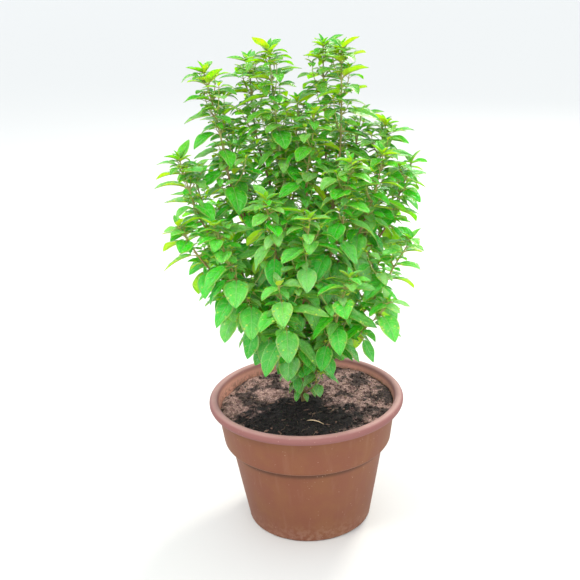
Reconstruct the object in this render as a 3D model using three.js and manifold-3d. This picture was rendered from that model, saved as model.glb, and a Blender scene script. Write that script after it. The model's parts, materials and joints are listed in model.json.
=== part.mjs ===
// Potted lemon basil: a bushy herb with one main stem and many leafy side stems, in a round plastic pot.
// Millimetres, +Z up. The origin is the centre of the pot's flat underside, and the front faces -Y.

import * as THREE from "three";
import { mergeVertices } from "three/addons/utils/BufferGeometryUtils.js";
import Module from "manifold-3d";

const wasm = await Module();
wasm.setup();

// Pot, from its foot up to the rolled rim
const POT_HEIGHT = 209.5;
const RIM_RADIUS = 152.5;
const ROLL_RADIUS = 7.2;
const WALL = 2.6;
const BAND_TOP_RADIUS = 139.6;
const BAND_FOOT_RADIUS = 132;
const BAND_FOOT_HEIGHT = 135.4;
const BODY_TOP_RADIUS = 121.5;
const FOOT_RADIUS = 98.4;
const FLOOR_THICKNESS = 4.6;
const STEP_RISE = 6;
const STEP_SLOPE = 1;
const STEP_BEVEL = 3;
const FOOT_BEVEL = 2.2;
const FLOOR_BEVEL = 3;
const POT_SIDES = 32;

// Angles of the points inside and outside the rolled rim, in degrees up from straight outward
const ROLL_INSIDE = [160, 90, 20, -42];
const ROLL_OUTSIDE = [-42, 0, 45, 90, 135, 180];

// Drainage: a raised ring under the floor, with round holes in it and notches through the foot outside it
const DRAIN_RING_INSIDE = 46;
const DRAIN_RING_OUTSIDE = 80;
const DRAIN_RING_RISE = 2.2;
const DRAIN_HOLES = 8;
const DRAIN_HOLE_RADIUS = 6;
const DRAIN_HOLE_SIDES = 8;
const DRAIN_NOTCH_WIDTH = 12;
const DRAIN_NOTCH_DEPTH = 1.9;

// Soil: its level, the rise of its dome and of its tilt, and the height of its ripples, which are a long and
// a short wave. The waves turn by one radian in the given millimetres along X and Y, and start at the given
// radians. The short wave is a part of the long one's height.
const SOIL_LEVEL = 190;
const SOIL_DOME = 5;
const SOIL_TILT = 4.5;
const SOIL_RIPPLE = 2.2;
const LONG_WAVE = { x: 23, y: 19, startX: 1.3, startY: -0.4 };
const SHORT_WAVE = { part: 0.6, x: 9.5, slantY: 12, start: 2.1, y: 10.5, slantX: 31 };
const SOIL_RINGS = 5;
const SOIL_EDGE = 10;

// Clear space between pieces that touch
const GAP = 0.3;

// Stems are square, as in the mint family, and taper towards the tip. A radius is to a corner of the square.
// A stem is a row of rings of corners. Each leaf grows out of the short facet between two close rings.
// The two inner points of a stem's curve are at the given parts of its rise. It sways by half to one and a
// half times the sway. The rings of the bare part are spaced so that the last one stays below the leaves.
const STEM_CORNERS = 4;
const STEM_TIP_RADIUS = 1;
const STEM_TAPER = 0.8;
const STEM_RISE = [0.2, 0.6];
const STEM_SWAY = 3;
const LEAST_SWAY = 0.5;
const SWAY_ACROSS = 9;
const SWAY_ALONG = 7;
const BARE_RINGS = 3;
const BARE_END = 0.1;
const FACET_HEIGHT = 1.8;

// Leaves stand in opposite pairs, each pair turned a quarter turn from the pair below, and closer together
// towards the tip. A leaf is fully grown at this distance from the tip. The youngest pair is a part of a step
// old. In each cycle of pairs, all but the last one carry leaves.
const PAIR_SPACING = 25;
const PAIR_CROWDING = 1.15;
const PAIR_CYCLE = 3;
const FEWEST_PAIRS = 2;
const YOUNGEST_PAIR = 0.25;
const TIP_LEAF_LENGTH = 29;
const GROWN_DISTANCE = 30;

// The youngest and the oldest leaf of a stem: stalk and width as parts of the length, and angles in degrees.
// A leaf leaves the stem at its lift. Its stalk bends down to the neck angle and its blade on to the droop at
// the tip, and its halves fold up along its middle. Leaves change fastest near the tip of a stem. Low on the
// bush, in its shade, all leaves hang more like old ones. Leaves also turn outward, away from the pot's axis.
const YOUNG_LEAF = { stalk: 0.08, width: 0.54, lift: 55, neck: 50, droop: 34, fold: 32 };
const OLD_LEAF = { stalk: 0.42, width: 0.76, lift: 22, neck: -46, droop: -74, fold: 9 };
const RIPENING = 0.68;
const SHADE_TOP = 560;
const SHADE_DEPTH = 240;
const SHADE_RIPENESS = 0.75;
const OUTWARD_TURN = 28;
const LEAF_SPREAD = { turn: 20, lift: 13, droop: 17, roll: 32, length: 0.14, width: 0.1 };
const BLADE_THICKNESS = 0.8;
const PETIOLE_WIDTH = 1.8;
const LONG_PETIOLE = 10;
const BLADE_WIDE_AT = 0.34;
const BLADE_NARROW_AT = 0.72;
const BLADE_NARROW_PART = 0.68;
const STEEPEST_LIFT = 56;
const NECK_DROP = 6;

// Tests for clear leaves: the room kept round a leaf, the latest start of a test as a part of the way to the
// leaf's first row, and the start of the test against the leaf's own stem, in radii of the stem
const LEAF_CLEARANCE = 0.25;
const LATEST_START = 0.9;
const PAST_STEM = 1.5;

// Draws: a stream of numbers for each stem and each leaf, told apart by its seed
const DRAW_FACTOR = 1664525;
const DRAW_STEP = 1013904223;
const DRAW_RANGE = 2 ** 32;
const DRAW_WARM_UP = 4;
const STEM_SEED = 7919;
const LEAF_SEED = 4096;
const PAIR_SEED = 16;

// Points of a solid that are closer than this are one point
const SAME_POINT = 1e-3;

// The main stem goes from its root in the soil to the tallest tip of the bush
const MAIN_STEM = {
  name: "main_stem", root: [1, 2, 128], tip: [-35, -10, 737], radius: 5.4, bow: 0.12, bare: 0.6, lowLeaf: 38,
};

// Side stems: name, the stem it grows from, how far up that stem, tip, radius at the root, bow, bare part,
// and the length of its lowest leaves. A high bow spreads early and then rises. The bare part has no leaves.
const SIDE_STEMS = [
  ["right_tall", "main_stem", 0.36, [67, 8, 734], 3.2, 0.86, 0.3, 42],
  ["left_tall", "main_stem", 0.42, [-127, 2, 710], 2.8, 0.62, 0.3, 42],
  ["right_rear_tall", "right_tall", 0.3, [44, 62, 735], 2, 0.7, 0.3, 38],
  ["left_rear_tall", "main_stem", 0.56, [-66, 50, 718], 2.2, 0.7, 0.3, 38],
  ["left_rear_mid", "left_tall", 0.34, [-106, 60, 642], 1.8, 0.3, 0.3, 38],
  ["far_left", "main_stem", 0.33, [-168, -20, 592], 2.5, 0.66, 0.36, 44],
  ["centre_rear", "main_stem", 0.6, [4, 62, 655], 2, 0.6, 0.25, 36],
  ["centre_front", "main_stem", 0.52, [24, -34, 650], 2, 0.7, 0.3, 38],
  ["right_mid", "right_tall", 0.42, [96, 42, 635], 1.8, 0.6, 0.25, 36],
  ["right_high", "main_stem", 0.31, [131, 30, 622], 2.6, 0.74, 0.4, 42],
  ["right_front_high", "right_tall", 0.16, [120, -34, 590], 2, 0.7, 0.35, 40],
  ["right_front_mid", "main_stem", 0.4, [72, -72, 588], 2.2, 0.7, 0.35, 42],
  ["far_right", "right_high", 0.42, [168, 22, 566], 1.8, 0.55, 0.25, 38],
  ["far_right_rear", "right_high", 0.3, [160, 78, 545], 1.8, 0.55, 0.3, 40],
  ["far_right_low", "main_stem", 0.24, [160, -44, 468], 2.3, 0.5, 0.4, 44],
  ["right_low", "far_right_low", 0.15, [122, -80, 386], 1.6, 0.62, 0.3, 42],
  ["left_front_high", "main_stem", 0.45, [-46, -106, 548], 2.1, 0.66, 0.4, 40],
  ["centre_front_mid", "main_stem", 0.35, [12, -112, 522], 2.1, 0.62, 0.4, 46],
  ["left_front_mid", "main_stem", 0.25, [-120, -92, 512], 2.3, 0.52, 0.4, 46],
  ["far_left_mid", "far_left", 0.3, [-172, -66, 506], 1.8, 0.5, 0.3, 42],
  ["left_low", "left_front_mid", 0.22, [-138, -58, 428], 1.7, 0.45, 0.3, 44],
  ["front_low", "main_stem", 0.22, [-34, -118, 430], 2, 0.5, 0.36, 48],
  ["right_front_low", "main_stem", 0.2, [66, -112, 436], 2, 0.5, 0.38, 47],
  ["right_foot", "main_stem", 0.16, [52, -44, 334], 1.6, 0.45, 0.4, 30],
  ["left_foot", "main_stem", 0.17, [-58, -32, 342], 1.6, 0.45, 0.4, 34],
  ["rear_foot", "main_stem", 0.17, [6, 74, 344], 1.6, 0.45, 0.36, 34],
  ["front_foot", "main_stem", 0.15, [-4, -52, 312], 1.6, 0.45, 0.36, 27],
  ["lowest", "main_stem", 0.13, [22, -30, 256], 1.3, 0.45, 0.3, 22],
  ["rear_tall", "main_stem", 0.47, [-14, 128, 640], 2.3, 0.66, 0.34, 40],
  ["left_back_high", "left_tall", 0.2, [-84, 128, 600], 2, 0.6, 0.34, 42],
  ["right_back_high", "main_stem", 0.38, [74, 128, 604], 2.3, 0.66, 0.36, 42],
  ["far_left_rear", "main_stem", 0.28, [-160, 66, 560], 2.4, 0.6, 0.36, 44],
  ["left_back_mid", "far_left_rear", 0.24, [-128, 122, 486], 1.8, 0.5, 0.3, 42],
  ["rear_mid", "main_stem", 0.29, [8, 160, 512], 2.2, 0.6, 0.36, 44],
  ["right_back_mid", "main_stem", 0.27, [112, 128, 486], 2.2, 0.58, 0.36, 44],
  ["left_rear_low", "main_stem", 0.21, [-112, 84, 400], 1.9, 0.5, 0.36, 44],
  ["right_rear_low", "main_stem", 0.19, [128, 62, 410], 1.9, 0.5, 0.36, 44],
  ["rear_low", "main_stem", 0.23, [-46, 132, 404], 1.9, 0.5, 0.36, 44],
];

// Ways to bend a leaf that would cross another piece: turn, lift (both in degrees) and size
const LEAF_BENDS = [
  [0, 0, 1], [14, 6, 1], [-14, 6, 1], [0, 18, 0.95], [0, -16, 0.95], [26, 12, 0.9], [-26, 12, 0.9],
  [36, -14, 0.85], [-36, -14, 0.85], [12, 34, 0.8], [-12, 34, 0.8],
  [0, 0, 0.7], [24, 10, 0.7], [-24, 10, 0.7], [0, -30, 0.7], [44, 20, 0.65], [-44, 20, 0.65],
];

const FINISHES = {
  pot: { color: 0xb0705a, roughness: 0.62 },
  soil: { color: 0x2b211c, roughness: 0.97 },
  main_stem: { color: 0x8f9a4c, roughness: 0.6 },
  leafy_stem: { color: 0x5f9c36, roughness: 0.52 },
};

const UP = new THREE.Vector3(0, 0, 1);

function mix(from, to, part) {
  return from + (to - from) * part;
}

function radians(degrees) {
  return (degrees * Math.PI) / 180;
}

// A repeatable stream of draws between 0 and 1
function makeDraw(seed) {
  let state = seed;
  const draw = () => {
    state = (DRAW_FACTOR * state + DRAW_STEP) % DRAW_RANGE;
    return state / DRAW_RANGE;
  };
  for (let count = 0; count < DRAW_WARM_UP; count += 1) draw();
  return draw;
}

// A closed solid from its points and triangles
function solidFromArrays(positions, triangles) {
  return new wasm.Manifold(new wasm.Mesh({
    numProp: 3,
    vertProperties: new Float32Array(positions),
    triVerts: new Uint32Array(triangles),
  }));
}

function solidFromGeometry(geometry) {
  const bare = geometry.index ? geometry.toNonIndexed() : geometry.clone();
  bare.deleteAttribute("normal");
  bare.deleteAttribute("uv");
  const merged = mergeVertices(bare, SAME_POINT);
  return solidFromArrays(merged.attributes.position.array, merged.index.array);
}

function geometryFromSolid(solid) {
  const mesh = solid.getMesh();
  const geometry = new THREE.BufferGeometry();
  geometry.setAttribute("position", new THREE.BufferAttribute(mesh.vertProperties, 3));
  geometry.setIndex(new THREE.BufferAttribute(mesh.triVerts, 1));
  geometry.computeVertexNormals();
  return geometry;
}

// The largest connected piece of a solid, so that a cut leaves no scrap
function largestPiece(solid) {
  return solid.decompose().reduce((best, piece) => (piece.volume() > best.volume() ? piece : best));
}

// Whether two solids share any room. Their boxes are compared first, as that is quick.
function boxesMeet(first, second) {
  const a = first.boundingBox();
  const b = second.boundingBox();
  return [0, 1, 2].every((axis) => a.min[axis] <= b.max[axis] && b.min[axis] <= a.max[axis]);
}

function cross(first, second) {
  return boxesMeet(first, second) && !first.intersect(second).isEmpty();
}

// Points round the middle of the rolled rim
function rollPoints(radius, angles) {
  const centreRadius = RIM_RADIUS - ROLL_RADIUS;
  const centreHeight = POT_HEIGHT - ROLL_RADIUS;
  return angles.map(radians).map((angle) => {
    return [centreRadius + radius * Math.cos(angle), centreHeight + radius * Math.sin(angle)];
  });
}

// Section of the pot, from the axis under the floor, up the outside and down the inside
function potProfile() {
  const inner = (radius) => radius - WALL;
  const underRoll = POT_HEIGHT - 2 * ROLL_RADIUS;
  return [
    [0, 0],
    [DRAIN_RING_INSIDE, 0],
    [DRAIN_RING_INSIDE + DRAIN_RING_RISE, DRAIN_RING_RISE],
    [DRAIN_RING_OUTSIDE - DRAIN_RING_RISE, DRAIN_RING_RISE],
    [DRAIN_RING_OUTSIDE, 0],
    [FOOT_RADIUS - FOOT_BEVEL, 0],
    [FOOT_RADIUS, FOOT_BEVEL],
    [BODY_TOP_RADIUS, BAND_FOOT_HEIGHT - STEP_SLOPE],
    [BAND_FOOT_RADIUS - STEP_BEVEL, BAND_FOOT_HEIGHT],
    [BAND_FOOT_RADIUS, BAND_FOOT_HEIGHT + STEP_BEVEL],
    [BAND_TOP_RADIUS, underRoll],
    ...rollPoints(ROLL_RADIUS - WALL, ROLL_INSIDE),
    ...rollPoints(ROLL_RADIUS, ROLL_OUTSIDE),
    [inner(BAND_TOP_RADIUS), underRoll],
    [inner(BAND_FOOT_RADIUS), BAND_FOOT_HEIGHT + STEP_RISE],
    [inner(BODY_TOP_RADIUS), BAND_FOOT_HEIGHT + STEP_SLOPE],
    [inner(FOOT_RADIUS), FLOOR_THICKNESS + FLOOR_BEVEL],
    [inner(FOOT_RADIUS) - FLOOR_BEVEL, FLOOR_THICKNESS],
    [0, FLOOR_THICKNESS],
  ];
}

// A profile of radii and heights, turned about the upright axis
function latheAboutZ(profile) {
  const points = profile.map(([radius, height]) => new THREE.Vector2(radius, height));
  return new THREE.LatheGeometry(points, POT_SIDES).rotateX(Math.PI / 2);
}

// The holes and notches stand at even angles
function drainAngle(index) {
  return (2 * Math.PI * (index + 0.5)) / DRAIN_HOLES;
}

function drainHole(index) {
  const angle = drainAngle(index);
  const radius = (DRAIN_RING_INSIDE + DRAIN_RING_OUTSIDE) / 2;
  const depth = 4 * FLOOR_THICKNESS;
  const hole = new THREE.CylinderGeometry(DRAIN_HOLE_RADIUS, DRAIN_HOLE_RADIUS, depth, DRAIN_HOLE_SIDES);
  hole.rotateX(Math.PI / 2);
  hole.translate(radius * Math.cos(angle), radius * Math.sin(angle), 0);
  return solidFromGeometry(hole);
}

function drainNotch(index) {
  const angle = drainAngle(index);
  const length = 2 * (FOOT_RADIUS - DRAIN_RING_OUTSIDE);
  const notch = new THREE.BoxGeometry(length, DRAIN_NOTCH_WIDTH, 2 * DRAIN_NOTCH_DEPTH);
  notch.translate(FOOT_RADIUS, 0, 0);
  notch.rotateZ(angle);
  return solidFromGeometry(notch);
}

function makePot() {
  let pot = solidFromGeometry(latheAboutZ(potProfile()));
  for (let index = 0; index < DRAIN_HOLES; index += 1) pot = pot.subtract(drainHole(index));
  for (let index = 1; index < DRAIN_HOLES; index += 2) pot = pot.subtract(drainNotch(index));
  return pot;
}

// Soil: it fills the pot, and its top is a low dome with long and short ripples, highest at the right rear
function soilHeight(x, y) {
  const edge = BAND_TOP_RADIUS - WALL;
  const dome = SOIL_DOME * (1 - (x * x + y * y) / (edge * edge)) + (SOIL_TILT * (x + y)) / edge;
  const long = Math.sin(x / LONG_WAVE.x + LONG_WAVE.startX) * Math.cos(y / LONG_WAVE.y + LONG_WAVE.startY);
  const slant = x / SHORT_WAVE.x - y / SHORT_WAVE.slantY + SHORT_WAVE.start;
  const short = Math.sin(slant) * Math.sin(y / SHORT_WAVE.y + x / SHORT_WAVE.slantX);
  return SOIL_LEVEL + dome + SOIL_RIPPLE * (long + SHORT_WAVE.part * short);
}

// Radius of the inside of the pot's band at a height
function innerRadiusAt(height) {
  const underRoll = POT_HEIGHT - 2 * ROLL_RADIUS;
  const bandFoot = BAND_FOOT_HEIGHT + STEP_RISE;
  return mix(BAND_FOOT_RADIUS, BAND_TOP_RADIUS, (height - bandFoot) / (underRoll - bandFoot)) - WALL;
}

function makeSoil(mainStem) {
  const clear = GAP / Math.cos(Math.PI / POT_SIDES);
  const inner = (radius) => radius - WALL - clear;
  const edge = inner(BAND_TOP_RADIUS);
  const profile = [
    [0, FLOOR_THICKNESS + GAP],
    [inner(FOOT_RADIUS) - FLOOR_BEVEL, FLOOR_THICKNESS + GAP],
    [inner(FOOT_RADIUS), FLOOR_THICKNESS + FLOOR_BEVEL + GAP],
    [inner(BODY_TOP_RADIUS), BAND_FOOT_HEIGHT + STEP_SLOPE],
    [inner(BAND_FOOT_RADIUS), BAND_FOOT_HEIGHT + STEP_RISE],
    [innerRadiusAt(SOIL_LEVEL) - clear, SOIL_LEVEL],
  ];
  for (let ring = SOIL_RINGS - 1; ring >= 0; ring -= 1) {
    profile.push([(edge * ring) / SOIL_RINGS, SOIL_LEVEL]);
  }
  const geometry = latheAboutZ(profile);
  const place = geometry.attributes.position;
  for (let index = 0; index < place.count; index += 1) {
    if (place.getZ(index) < SOIL_LEVEL - SAME_POINT) continue;
    const x = place.getX(index);
    const y = place.getY(index);
    place.setZ(index, soilHeight(x, y));
    const spread = Math.hypot(x, y);
    if (spread > edge - SOIL_EDGE) {
      const wall = Math.min(innerRadiusAt(soilHeight(x, y)), RIM_RADIUS - 2 * ROLL_RADIUS);
      const pull = (wall - clear) / spread;
      place.setX(index, x * pull);
      place.setY(index, y * pull);
    }
  }
  return solidFromGeometry(geometry).subtract(mainStem.makeTube(GAP));
}

// The centre line of a stem: a cubic curve from its root to its tip, with a slight sway
class StemPath extends THREE.Curve {
  constructor(root, tip, bow, draw) {
    super();
    const reach = new THREE.Vector3().subVectors(tip, root);
    const at = (spread, rise) => new THREE.Vector3(spread, spread, rise).multiply(reach).add(root);
    const early = at(bow, STEM_RISE[0]);
    const late = at((1 + bow) / 2, STEM_RISE[1]);
    this.curve = new THREE.CubicBezierCurve3(root, early, late, tip);
    this.across = new THREE.Vector3(-reach.y, reach.x, 0).normalize();
    this.along = new THREE.Vector3(reach.x, reach.y, 0).normalize();
    this.sway = STEM_SWAY * (LEAST_SWAY + draw());
    this.phase = 2 * Math.PI * draw();
  }

  getPoint(part, target = new THREE.Vector3()) {
    const swing = this.sway * Math.sin(Math.PI * part);
    this.curve.getPoint(part, target);
    target.addScaledVector(this.across, swing * Math.sin(SWAY_ACROSS * part + this.phase));
    target.addScaledVector(this.along, swing * Math.cos(SWAY_ALONG * part + this.phase));
    return target;
  }
}

// Points and triangles of one closed solid
class MeshList {
  positions = [];
  triangles = [];

  addPoint(point) {
    this.positions.push(point.x, point.y, point.z);
    return this.positions.length / 3 - 1;
  }

  addTriangle(a, b, c) {
    this.triangles.push(a, b, c);
  }

  addQuad(a, b, c, d) {
    this.triangles.push(a, b, c, a, c, d);
  }

  solid() {
    return solidFromArrays(this.positions, this.triangles);
  }
}

// Triangles that join two rows of points on one face, each row listed from left to right, seen from above
function joinRows(near, far) {
  const triangles = [];
  let i = 0;
  let j = 0;
  while (i < near.length - 1 || j < far.length - 1) {
    const nearNext = i < near.length - 1 ? (i + 0.5) / (near.length - 1) : Infinity;
    const farNext = j < far.length - 1 ? (j + 0.5) / (far.length - 1) : Infinity;
    if (nearNext < farNext) {
      triangles.push([near[i], near[i + 1], far[j]]);
      i += 1;
    } else {
      triangles.push([near[i], far[j + 1], far[j]]);
      j += 1;
    }
  }
  return triangles;
}

// How far a line gets along an arc of a given length that turns from one angle to another
function arc(from, to, length, along) {
  const bend = (to - from) / length;
  const angle = from + bend * along;
  return {
    angle,
    forward: (Math.sin(angle) - Math.sin(from)) / bend,
    upward: (Math.cos(from) - Math.cos(angle)) / bend,
  };
}

// One leaf: its middle line leaves the stem, arches over and droops, and its two halves fold upwards
class Leaf {
  constructor(place, direction, shape) {
    Object.assign(this, shape);
    this.place = place;
    this.direction = direction;
  }

  bent([turn, lift, size]) {
    return new Leaf(this.place, this.direction + radians(turn), {
      ...this,
      lift: Math.min(this.lift + radians(lift), radians(STEEPEST_LIFT)),
      neck: Math.min(this.neck + radians(lift), radians(STEEPEST_LIFT - NECK_DROP)),
      droop: this.droop + radians(lift),
      length: this.length * size,
      width: this.width * size,
    });
  }

  // The middle line is two arcs, one along the stalk and one along the blade
  frameAt(part) {
    const out = new THREE.Vector3(Math.cos(this.direction), Math.sin(this.direction), 0);
    const side = new THREE.Vector3().crossVectors(UP, out);
    const along = part * this.length;
    const stalk = arc(this.lift, this.neck, this.petiole, Math.min(along, this.petiole));
    const blade = arc(this.neck, this.droop, this.length - this.petiole, Math.max(along - this.petiole, 0));
    const forward = stalk.forward + blade.forward;
    const upward = stalk.upward + blade.upward;
    const angle = along > this.petiole ? blade.angle : stalk.angle;
    const above = out.clone().multiplyScalar(-Math.sin(angle)).addScaledVector(UP, Math.cos(angle));
    const roll = this.roll * part;
    return {
      centre: this.place.clone().addScaledVector(out, forward).addScaledVector(UP, upward),
      side: side.clone().multiplyScalar(Math.cos(roll)).addScaledVector(above, Math.sin(roll)),
      above: above.clone().multiplyScalar(Math.cos(roll)).addScaledVector(side, -Math.sin(roll)),
    };
  }

  // A point of the blade: across is from -1 at the right rim to 1 at the left rim
  pointAt([part, halfWidth, across], thickness) {
    const { centre, side, above } = this.frameAt(part);
    return centre
      .addScaledVector(side, across * halfWidth * Math.cos(this.fold))
      .addScaledVector(above, Math.abs(across) * halfWidth * Math.sin(this.fold) + thickness);
  }

  // Rows of the blade from its stalk to its tip, each listed from left to right
  rows(margin) {
    const stalk = this.petiole / this.length;
    const along = (part) => stalk + (1 - stalk) * part;
    const row = (part, half) => [[along(part), half, 1], [along(part), 0, 0], [along(part), half, -1]];
    const half = this.width / 2 + margin;
    const stalkHalf = PETIOLE_WIDTH / 2 + margin;
    return [
      ...(this.petiole > LONG_PETIOLE ? [[[stalk, stalkHalf, 1], [stalk, stalkHalf, -1]]] : []),
      row(BLADE_WIDE_AT, half),
      row(BLADE_NARROW_AT, half * BLADE_NARROW_PART),
      [[1 + margin / this.length, 0, 0]],
    ];
  }

  // Adds the leaf to a mesh. It starts at four corners of the mesh, where a facet of the stem is left open.
  addTo(mesh, corners, margin = 0) {
    const half = BLADE_THICKNESS / 2 + margin;
    const rows = this.rows(margin);
    const addRow = (row, thickness) => row.map((point) => mesh.addPoint(this.pointAt(point, thickness)));
    const top = [corners.upper, ...rows.map((row) => addRow(row, half))];
    const bottom = [corners.lower, ...rows.map((row) => addRow(row, -half))];
    for (let index = 1; index < top.length; index += 1) {
      for (const [a, b, c] of joinRows(top[index - 1], top[index])) mesh.addTriangle(a, b, c);
      for (const [a, b, c] of joinRows(bottom[index - 1], bottom[index])) mesh.addTriangle(a, c, b);
      mesh.addQuad(top[index - 1].at(-1), bottom[index - 1].at(-1), bottom[index].at(-1), top[index].at(-1));
      mesh.addQuad(top[index][0], bottom[index][0], bottom[index - 1][0], top[index - 1][0]);
    }
  }

  // The leaf by itself, a little larger all round, to test whether it is clear of other pieces. It starts at
  // the given distance from the stem's axis, or just before its stalk meets the blade.
  testSolid(distance) {
    const mesh = new MeshList();
    const half = BLADE_THICKNESS / 2 + LEAF_CLEARANCE;
    const [[[firstPart]]] = this.rows(LEAF_CLEARANCE);
    const start = Math.min(distance / this.length, LATEST_START * firstPart);
    const base = [[start, PETIOLE_WIDTH / 2, 1], [start, PETIOLE_WIDTH / 2, -1]];
    const corners = {
      upper: base.map((point) => mesh.addPoint(this.pointAt(point, half))),
      lower: base.map((point) => mesh.addPoint(this.pointAt(point, -half))),
    };
    mesh.addQuad(corners.upper[0], corners.lower[0], corners.lower[1], corners.upper[1]);
    this.addTo(mesh, corners, LEAF_CLEARANCE);
    return mesh.solid();
  }
}

// A stem with its leaves: a square tube whose flat sides face the leaves, which grow out of short facets
class LeafyStem {
  constructor(description, parent) {
    Object.assign(this, description);
    this.parent = parent;
    const root = parent ? parent.path.getPointAt(this.at) : new THREE.Vector3(...this.root);
    const draw = makeDraw(this.seed * STEM_SEED);
    this.turn = 2 * Math.PI * draw();
    this.path = new StemPath(root, new THREE.Vector3(...this.tip), this.bow, draw);
    this.stemLength = this.path.getLength();
    this.pairs = this.leafPairs().filter((_, pair) => (pair + 1) % PAIR_CYCLE !== 0);
    this.leaves = new Map();
    this.tube = this.makeTube();
  }

  radiusAt(part) {
    return mix(this.radius, STEM_TIP_RADIUS, part ** STEM_TAPER);
  }

  // Rings of the tube from root to tip, with two close rings round the facets of each pair of leaves
  ringParts() {
    const step = this.bare / (BARE_RINGS + BARE_END);
    const bare = Array.from({ length: BARE_RINGS }, (_, index) => ({ part: step * index }));
    const half = FACET_HEIGHT / 2 / this.stemLength;
    const facetRings = (pair) => [{ part: pair.at - half, pair }, { part: pair.at + half }];
    return [...bare, ...this.pairs.toReversed().flatMap(facetRings), { part: 1 }];
  }

  // Adds the corners of one ring, square to the stem's line
  addRing(mesh, part, margin) {
    const tangent = this.path.getTangentAt(part);
    const centre = this.path.getPointAt(part);
    const radius = this.radiusAt(part) + margin * Math.SQRT2;
    return Array.from({ length: STEM_CORNERS }, (_, index) => {
      const angle = this.turn + ((2 * Math.PI) / STEM_CORNERS) * (index + 0.5);
      const outward = new THREE.Vector3(Math.cos(angle), Math.sin(angle), 0);
      outward.addScaledVector(tangent, -tangent.dot(outward)).normalize();
      return mesh.addPoint(centre.clone().addScaledVector(outward, radius));
    });
  }

  // The stem without leaves, a margin larger all round
  makeTube(margin = 0) {
    return this.makeSolid(new Map(), margin);
  }

  makeSolid(leaves, margin = 0) {
    const mesh = new MeshList();
    const rings = this.ringParts().map(({ part, pair }) => {
      return { pair, corners: this.addRing(mesh, part, margin) };
    });
    const [bottom, top] = [rings[0].corners, rings.at(-1).corners];
    mesh.addQuad(bottom[0], bottom[3], bottom[2], bottom[1]);
    mesh.addQuad(top[0], top[1], top[2], top[3]);
    for (let index = 1; index < rings.length; index += 1) {
      this.addSides(mesh, leaves, rings[index - 1], rings[index].corners);
    }
    return mesh.solid();
  }

  // Four sides between two rings: a leaf grows from a side that faces it, and the other sides are closed
  addSides(mesh, leaves, { pair, corners: lower }, upper) {
    for (let left = 0; left < STEM_CORNERS; left += 1) {
      const right = (left + STEM_CORNERS - 1) % STEM_CORNERS;
      const leaf = pair ? leaves.get(pair.leaves.find((candidate) => candidate.facet === left)) : undefined;
      if (leaf) {
        leaf.addTo(mesh, { upper: [upper[left], upper[right]], lower: [lower[left], lower[right]] });
      } else {
        mesh.addQuad(lower[right], lower[left], upper[left], upper[right]);
      }
    }
  }

  // Pairs of leaves from the tip down to the bare part. Young leaves stand up, and old ones hang on stalks.
  leafPairs() {
    const leafy = this.stemLength * (1 - this.bare);
    const pairs = Math.max(FEWEST_PAIRS, Math.round(leafy / PAIR_SPACING));
    return Array.from({ length: pairs }, (_, pair) => this.leafPair(pair, pairs));
  }

  // One pair, numbered from the tip, with a turn, size and stand of its own for each leaf
  leafPair(pair, pairs) {
    const age = (pair + YOUNGEST_PAIR) / pairs;
    const at = 1 - (1 - this.bare) * age ** PAIR_CROWDING;
    const grown = Math.min(1, ((1 - at) * this.stemLength) / GROWN_DISTANCE);
    const place = this.path.getPointAt(at);
    const shade = Math.min(1, Math.max(0, (SHADE_TOP - place.z) / SHADE_DEPTH));
    const ripe = Math.max(age ** RIPENING, shade * SHADE_RIPENESS);
    const outward = Math.atan2(place.y, place.x);
    const habit = (key) => mix(YOUNG_LEAF[key], OLD_LEAF[key], ripe);
    const leaves = [0, 1].map((side) => {
      const draw = makeDraw(this.seed * LEAF_SEED + pair * PAIR_SEED + side);
      const spread = (key) => LEAF_SPREAD[key] * mix(-1, 1, draw());
      const facet = (pair + 2 * side) % STEM_CORNERS;
      const facing = this.turn + facet * (Math.PI / 2);
      const direction = facing + radians(spread("turn") + OUTWARD_TURN * Math.sin(outward - facing));
      const length = mix(TIP_LEAF_LENGTH, this.lowLeaf, grown) * (1 + spread("length"));
      const width = length * habit("width") * (1 + spread("width"));
      const rise = spread("lift");
      return new Leaf(place, direction, {
        facet,
        length: length * (1 + habit("stalk")),
        petiole: length * habit("stalk"),
        width,
        lift: radians(habit("lift") + rise),
        neck: radians(habit("neck") + rise),
        droop: radians(habit("droop") + spread("droop")),
        fold: radians(habit("fold")),
        roll: radians(spread("roll")),
      });
    });
    return { at, leaves };
  }

  // Each leaf is bent clear of the obstacles, or left out where no bend clears it
  growLeaves(obstacles) {
    for (const pair of this.pairs) {
      for (const leaf of pair.leaves) {
        const bends = LEAF_BENDS.map((bend) => leaf.bent(bend));
        const clear = bends.find((bent) => this.isClear(bent, pair.at, obstacles));
        if (clear) {
          this.leaves.set(leaf, clear);
          obstacles.push({ owner: this, solid: clear.testSolid(0) });
        }
      }
    }
  }

  // The whole leaf is tested against other pieces, and its blade against leaves of the same stem
  isClear(leaf, at, obstacles) {
    const whole = leaf.testSolid(0);
    const blade = leaf.testSolid(leaf.length);
    const pastStem = leaf.testSolid(PAST_STEM * this.radiusAt(at) + BLADE_THICKNESS);
    const crosses = ({ owner, solid }) => solid !== this.tube && cross(owner === this ? blade : whole, solid);
    return !cross(pastStem, this.tube) && !obstacles.some(crosses);
  }

  // A side stem starts on the axis of its parent and is cut back to the parent's surface
  finish() {
    const whole = this.makeSolid(this.leaves);
    return this.parent ? largestPiece(whole.subtract(this.parent.makeTube(GAP))) : whole;
  }
}

// All stems, each one after the stem that it grows from
function makeStems() {
  const stems = [new LeafyStem({ ...MAIN_STEM, seed: 1 }, null)];
  for (const [name, from, at, tip, radius, bow, bare, lowLeaf] of SIDE_STEMS) {
    const parent = stems.find((stem) => stem.name === from);
    const seed = stems.length + 1;
    stems.push(new LeafyStem({ name, at, tip, radius, bow, bare, lowLeaf, seed }, parent));
  }
  return stems;
}

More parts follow.
